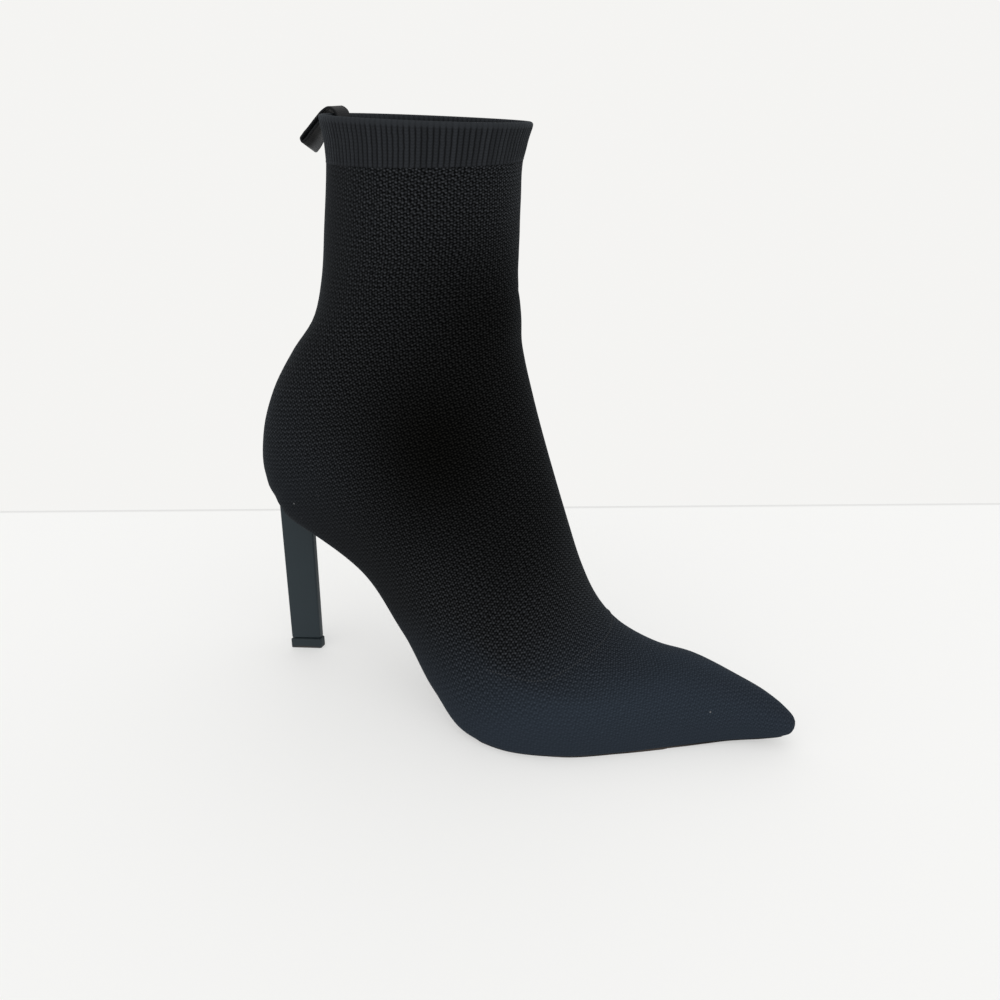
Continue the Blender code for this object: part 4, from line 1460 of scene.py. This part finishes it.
@dataclass
class HeelStack:
    """The slim heel, a wedge in plan, and the tip it stands on."""

    last: Last
    knit: bpy.types.Object    # the finished upper, which the heel's back meets
    back_x: float = -0.4
    depth_top: float = 13.9
    depth_low: float = 13.2
    back_width: float = 13.0
    front_width: float = 3.2
    corner: float = 0.8
    blank: float = 92.0       # height of the column before it is cut to the seat's slope
    lift_thick: float = 5.2
    lift_corner: float = 0.55
    lift_proud: float = 0.35
    seam: float = 0.3
    under_foot: float = 3.1
    cup: float = 3.0          # least rise of the heel's back behind the outsole's end
    sole_lap: float = 1.6
    bite: float = 0.5         # how far it presses into the knit

    def wedge(self, name: str, low: float, high: float, depth_low: float, depth_top: float,
              grow: float) -> bpy.types.Object:
        """Shape a cube to a wedge between two heights.

        Args:
            name: name of the piece.
            low: height of its lower face.
            high: height of its upper face.
            depth_low: front to back size at the bottom.
            depth_top: front to back size at the top.
            grow: margin all round.

        Returns:
            The wedge with sharp edges.
        """
        Shop.clear_selection()
        bpy.ops.mesh.primitive_cube_add(size=1.0)
        piece = bpy.context.active_object
        piece.name = piece.data.name = name
        for vertex in piece.data.vertices:
            front, up = vertex.co.x > 0, vertex.co.z > 0
            depth = depth_top if up else depth_low
            x = self.back_x + depth + grow if front else self.back_x - grow
            half = (self.front_width if front else self.back_width) / 2 + grow
            spot = np.array([x, math.copysign(half, vertex.co.y), high if up else low])
            vertex.co = Shop.to_part(spot)
        return piece

    def seat_line(self) -> tuple[np.ndarray, np.ndarray]:
        """Find where the outsole's underside lies over the heel.

        Returns:
            Its points at the heel's back and front.
        """
        under = Underside(self.last)
        runs = np.linspace(under.run[-1] - 30.0, under.run[-1] + 12.0, 80)
        line = under.point(runs, -self.under_foot)
        order = np.argsort(line[:, 0])
        spots = [(x, float(np.interp(x, line[order, 0], line[order, 1])))
                 for x in (self.back_x, self.back_x + self.depth_top)]
        return np.array([spots[0][0], 0.0, spots[0][1]]), np.array([spots[1][0], 0.0, spots[1][1]])

    def raise_back(self, heel: bpy.types.Object) -> None:
        """Let the heel's back rise behind the end of the outsole until it meets the knit.

        Args:
            heel: the column, cut to the seat's slope.
        """
        under = Underside(self.last)
        end = np.array([under.run[-1] + self.sole_lap])
        ends = [float(under.point(end, -height)[0, 0]) for height in (self.seam, self.under_foot)]
        cut = Shop.to_part(np.array([min(ends) - self.seam, 0.0, 0.0]))
        with Shop.editing(heel):
            bpy.ops.mesh.bisect(plane_co=cut, plane_no=(1.0, 0.0, 0.0))
            bpy.ops.mesh.select_all(action="DESELECT")
        for face in heel.data.polygons:
            face.select = face.normal.z > 0.7 and face.center.z > 0.06 and face.center.x < cut[0]
        with Shop.editing(heel, None):
            bpy.ops.mesh.select_mode(type="FACE")
            bpy.ops.mesh.extrude_region_move(TRANSFORM_OT_translate={"value": (0.0, 0.0, self.cup * MM)})
        bpy.context.view_layer.update()
        for vertex in heel.data.vertices:
            if vertex.select:
                start = vertex.co - Vector((0.0, 0.0, 2.0 * self.cup * MM))
                hit, spot, _, _ = self.knit.ray_cast(start, (0.0, 0.0, 1.0), distance=6.0 * self.cup * MM)
                vertex.co.z = max(vertex.co.z, spot.z + self.bite * MM) if hit else vertex.co.z

    def build(self) -> list[bpy.types.Object]:
        """Make the heel and its tip.

        Returns:
            Both pieces.
        """
        back, front = self.seat_line()
        heel = self.wedge("heel_column", self.lift_thick + self.seam, self.blank, self.depth_low,
                          self.depth_top, 0.0)
        slope = unit(front - back)
        Shop.round_edges(heel, self.corner, 5, 35.0)
        with Shop.editing(heel):
            bpy.ops.mesh.bisect(plane_co=Shop.to_part(back), plane_no=(-slope[2], 0.0, slope[0]),
                                use_fill=True, clear_outer=True)
        self.raise_back(heel)
        heel.data.materials.append(COVER.material())
        tip = self.wedge("heel_tip", 0.0, self.lift_thick, self.depth_low, self.depth_low, self.lift_proud)
        Shop.round_edges(tip, self.lift_corner, 4, 35.0)
        tip.data.materials.append(LIFT.material())
        for piece in (heel, tip):
            Shop.face_out(piece)
            Shop.smooth(piece, 30.0)
        return [Shop.seat(heel, "heel", ["heel"]), Shop.seat(tip, "top_lift", ["top_lift"])]


@dataclass
class PullLoop:
    """The ribbon loop at the back, from inside the collar over the rim and back to the outside."""

    width: float = 10.0
    thick: float = 0.9
    corner: float = 0.3
    droop: float = 0.48       # fall of the far edge over the width, once the ribbon hangs free
    fall: float = 13.7        # length over which it starts to hang
    rim: int = 4              # point of the path on the rim
    steps: int = 96
    columns: int = 12
    path: tuple[tuple[float, float], ...] = (   # nearer edge, X and Z
        (42.4, 231.5), (42.5, 238.0), (42.0, 244.0), (40.9, 247.5), (38.6, 248.8), (35.6, 247.6),
        (32.9, 245.3), (28.6, 241.2), (26.0, 238.8), (24.9, 237.3), (25.5, 236.3), (26.9, 237.0),
        (29.8, 239.8), (33.5, 243.2), (36.3, 245.3),
    )

    def build(self) -> bpy.types.Object:
        """Make the ribbon.

        Returns:
            The finished piece.
        """
        path = np.array(self.path)
        knots = np.concatenate([[0.0], np.cumsum(np.linalg.norm(np.diff(path, axis=0), axis=1))])
        line = curve_through(knots, path, np.linspace(0.0, knots[-1], self.steps), smooth=True)
        away = np.clip((self.path[self.rim][0] - line[:, 0]) / self.fall, 0.0, 1.0)
        across = np.linspace(-0.5, 0.5, self.columns + 1) * self.width
        points = np.empty((self.steps, self.columns + 1, 3))
        points[..., 0] = line[:, None, 0]
        points[..., 1] = across[None, :]
        points[..., 2] = line[:, None, 1] - self.droop * away[:, None] * (across[None, :] + self.width / 2)
        piece = Shop.net("ribbon_loop", points, Shop.even_uv(points), "ribbon")
        Shop.apply(piece, "SOLIDIFY", thickness=self.thick * MM, offset=0.0, use_even_offset=True)
        Shop.face_out(piece)
        Shop.round_edges(piece, self.corner, 3, 60.0)
        piece.data.materials.append(RIBBON.material())
        Shop.smooth(piece, 40.0)
        return Shop.seat(piece, "pull_loop", ["pull_loop"])


@dataclass
class Studio:
    """Pale table, soft light all round and the camera at the photograph's angle."""

    camera_at: Place = (0.13948, -0.35464, 0.26126)
    pitch: float = 23.17
    turn: float = 22.63
    sensor: float = 36.0
    wall_line: tuple[tuple[float, float], ...] = (   # on the picture, from its left top
        (-1.5, 0.523), (2.5, 0.491),
    )
    near: float = 3.0         # how far the table reaches toward the camera
    line: float = 0.004       # depth of the grey line along the wall
    line_tone: float = 0.72
    floor_colour: Colour = (0.42, 0.42, 0.415)
    floor_glow: float = 0.49
    room_colour: Colour = (1.0, 0.995, 0.978)
    room_light: float = 0.91
    lamp_at: Place = (0.25, -0.35, 1.5)
    lamp_aim: Place = (0.0, 0.0, 0.1)
    lamp_size: float = 1.6
    lamp_power: float = 4.0
    lamp_colour: Colour = (0.96, 0.98, 1.0)

    def on_floor(self, across: float, down: float) -> Vector:
        """Place on the floor that shows at a place on the picture.

        Args:
            across: share of the picture's width from its left.
            down: share of its height from its top.

        Returns:
            The place, in metres.
        """
        turn, pitch = math.radians(self.turn), math.radians(self.pitch)
        flat = math.cos(pitch)
        ahead = Vector((-math.sin(turn) * flat, math.cos(turn) * flat, -math.sin(pitch)))
        right = Vector((math.cos(turn), math.sin(turn), 0.0))
        ray = ahead + right * (across - 0.5) - right.cross(ahead) * (down - 0.5)
        return Vector(self.camera_at) - ray * (self.camera_at[2] / ray.z)

    def floor(self) -> None:
        """Lay the table top as far as the wall line of the photograph."""
        Shop.clear_selection()
        bpy.ops.mesh.primitive_plane_add(size=2.0)
        plane = bpy.context.active_object
        plane.name = "table_top"
        left, right = (self.on_floor(*spot) for spot in self.wall_line)
        for vertex in plane.data.vertices:
            corner = left if vertex.co.x < 0 else right
            toward = Vector((right.y - left.y, left.x - right.x, 0.0)).normalized()
            vertex.co = corner if vertex.co.y > 0 else corner + toward * self.near
        material = bpy.data.materials.new("table_white")
        material.use_nodes = True
        shader = material.node_tree.nodes["Principled BSDF"]
        graph = Graph(material.node_tree)
        toward_wall = graph.split(graph.uv(plane.data.uv_layers[0].name))[1]
        rim = 1.0 - self.line / self.near
        glow = graph.ramp(toward_wall, rim, 0.5 + 0.5 * rim, self.floor_glow,
                          self.line_tone * self.floor_glow)
        for name, value in (("Base Color", (*self.floor_colour, 1.0)), ("Roughness", 0.6),
                            ("Specular IOR Level", 0.2), ("Emission Color", (1.0, 1.0, 0.995, 1.0)),
                            ("Emission Strength", glow)):
            graph.put(shader.inputs[name], value)
        plane.data.materials.append(material)

    def light(self) -> None:
        """Fill the room with even light and hang one soft lamp over the boot."""
        world = bpy.data.worlds.new("pale_room")
        bpy.context.scene.world = world
        world.use_nodes = True
        background = world.node_tree.nodes["Background"]
        background.inputs["Color"].default_value = (*self.room_colour, 1.0)
        background.inputs["Strength"].default_value = self.room_light
        Shop.clear_selection()
        bpy.ops.object.light_add(type="AREA", location=self.lamp_at)
        lamp = bpy.context.active_object
        lamp.name = "lamp_over"
        lamp.data.size = self.lamp_size
        lamp.data.energy = self.lamp_power
        lamp.data.color = self.lamp_colour
        aim = Vector(self.lamp_aim) - Vector(self.lamp_at)
        lamp.rotation_euler = aim.to_track_quat("-Z", "Y").to_euler()

    def camera(self) -> None:
        """Set the camera where the photograph was taken from."""
        Shop.clear_selection()
        bpy.ops.object.camera_add(location=self.camera_at,
                                  rotation=(math.radians(90.0 - self.pitch), 0.0, math.radians(self.turn)))
        camera = bpy.context.active_object
        camera.name = "photo_camera"
        camera.data.sensor_width = self.sensor
        camera.data.lens = self.sensor
        camera.data.clip_start = 0.01
        bpy.context.scene.camera = camera

    def build(self) -> None:
        """Set up floor, light, camera and the plain display transform."""
        self.floor()
        self.light()
        self.camera()
        bpy.context.scene.view_settings.view_transform = "Standard"
        bpy.context.scene.view_settings.look = "None"


def main() -> None:
    """Build the boot's pieces in order and set the studio round them."""
    logging.basicConfig(level=logging.INFO, format="%(name)s: %(message)s")
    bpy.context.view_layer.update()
    last = Last()
    Studio().build()
    knit = KnitUpper(last).build()
    TuckLine(last).build()
    SolePlates(last).build()
    HeelStack(last, knit).build()
    PullLoop().build()
    Shop.clear_selection()


if __name__ == "__main__":
    main()
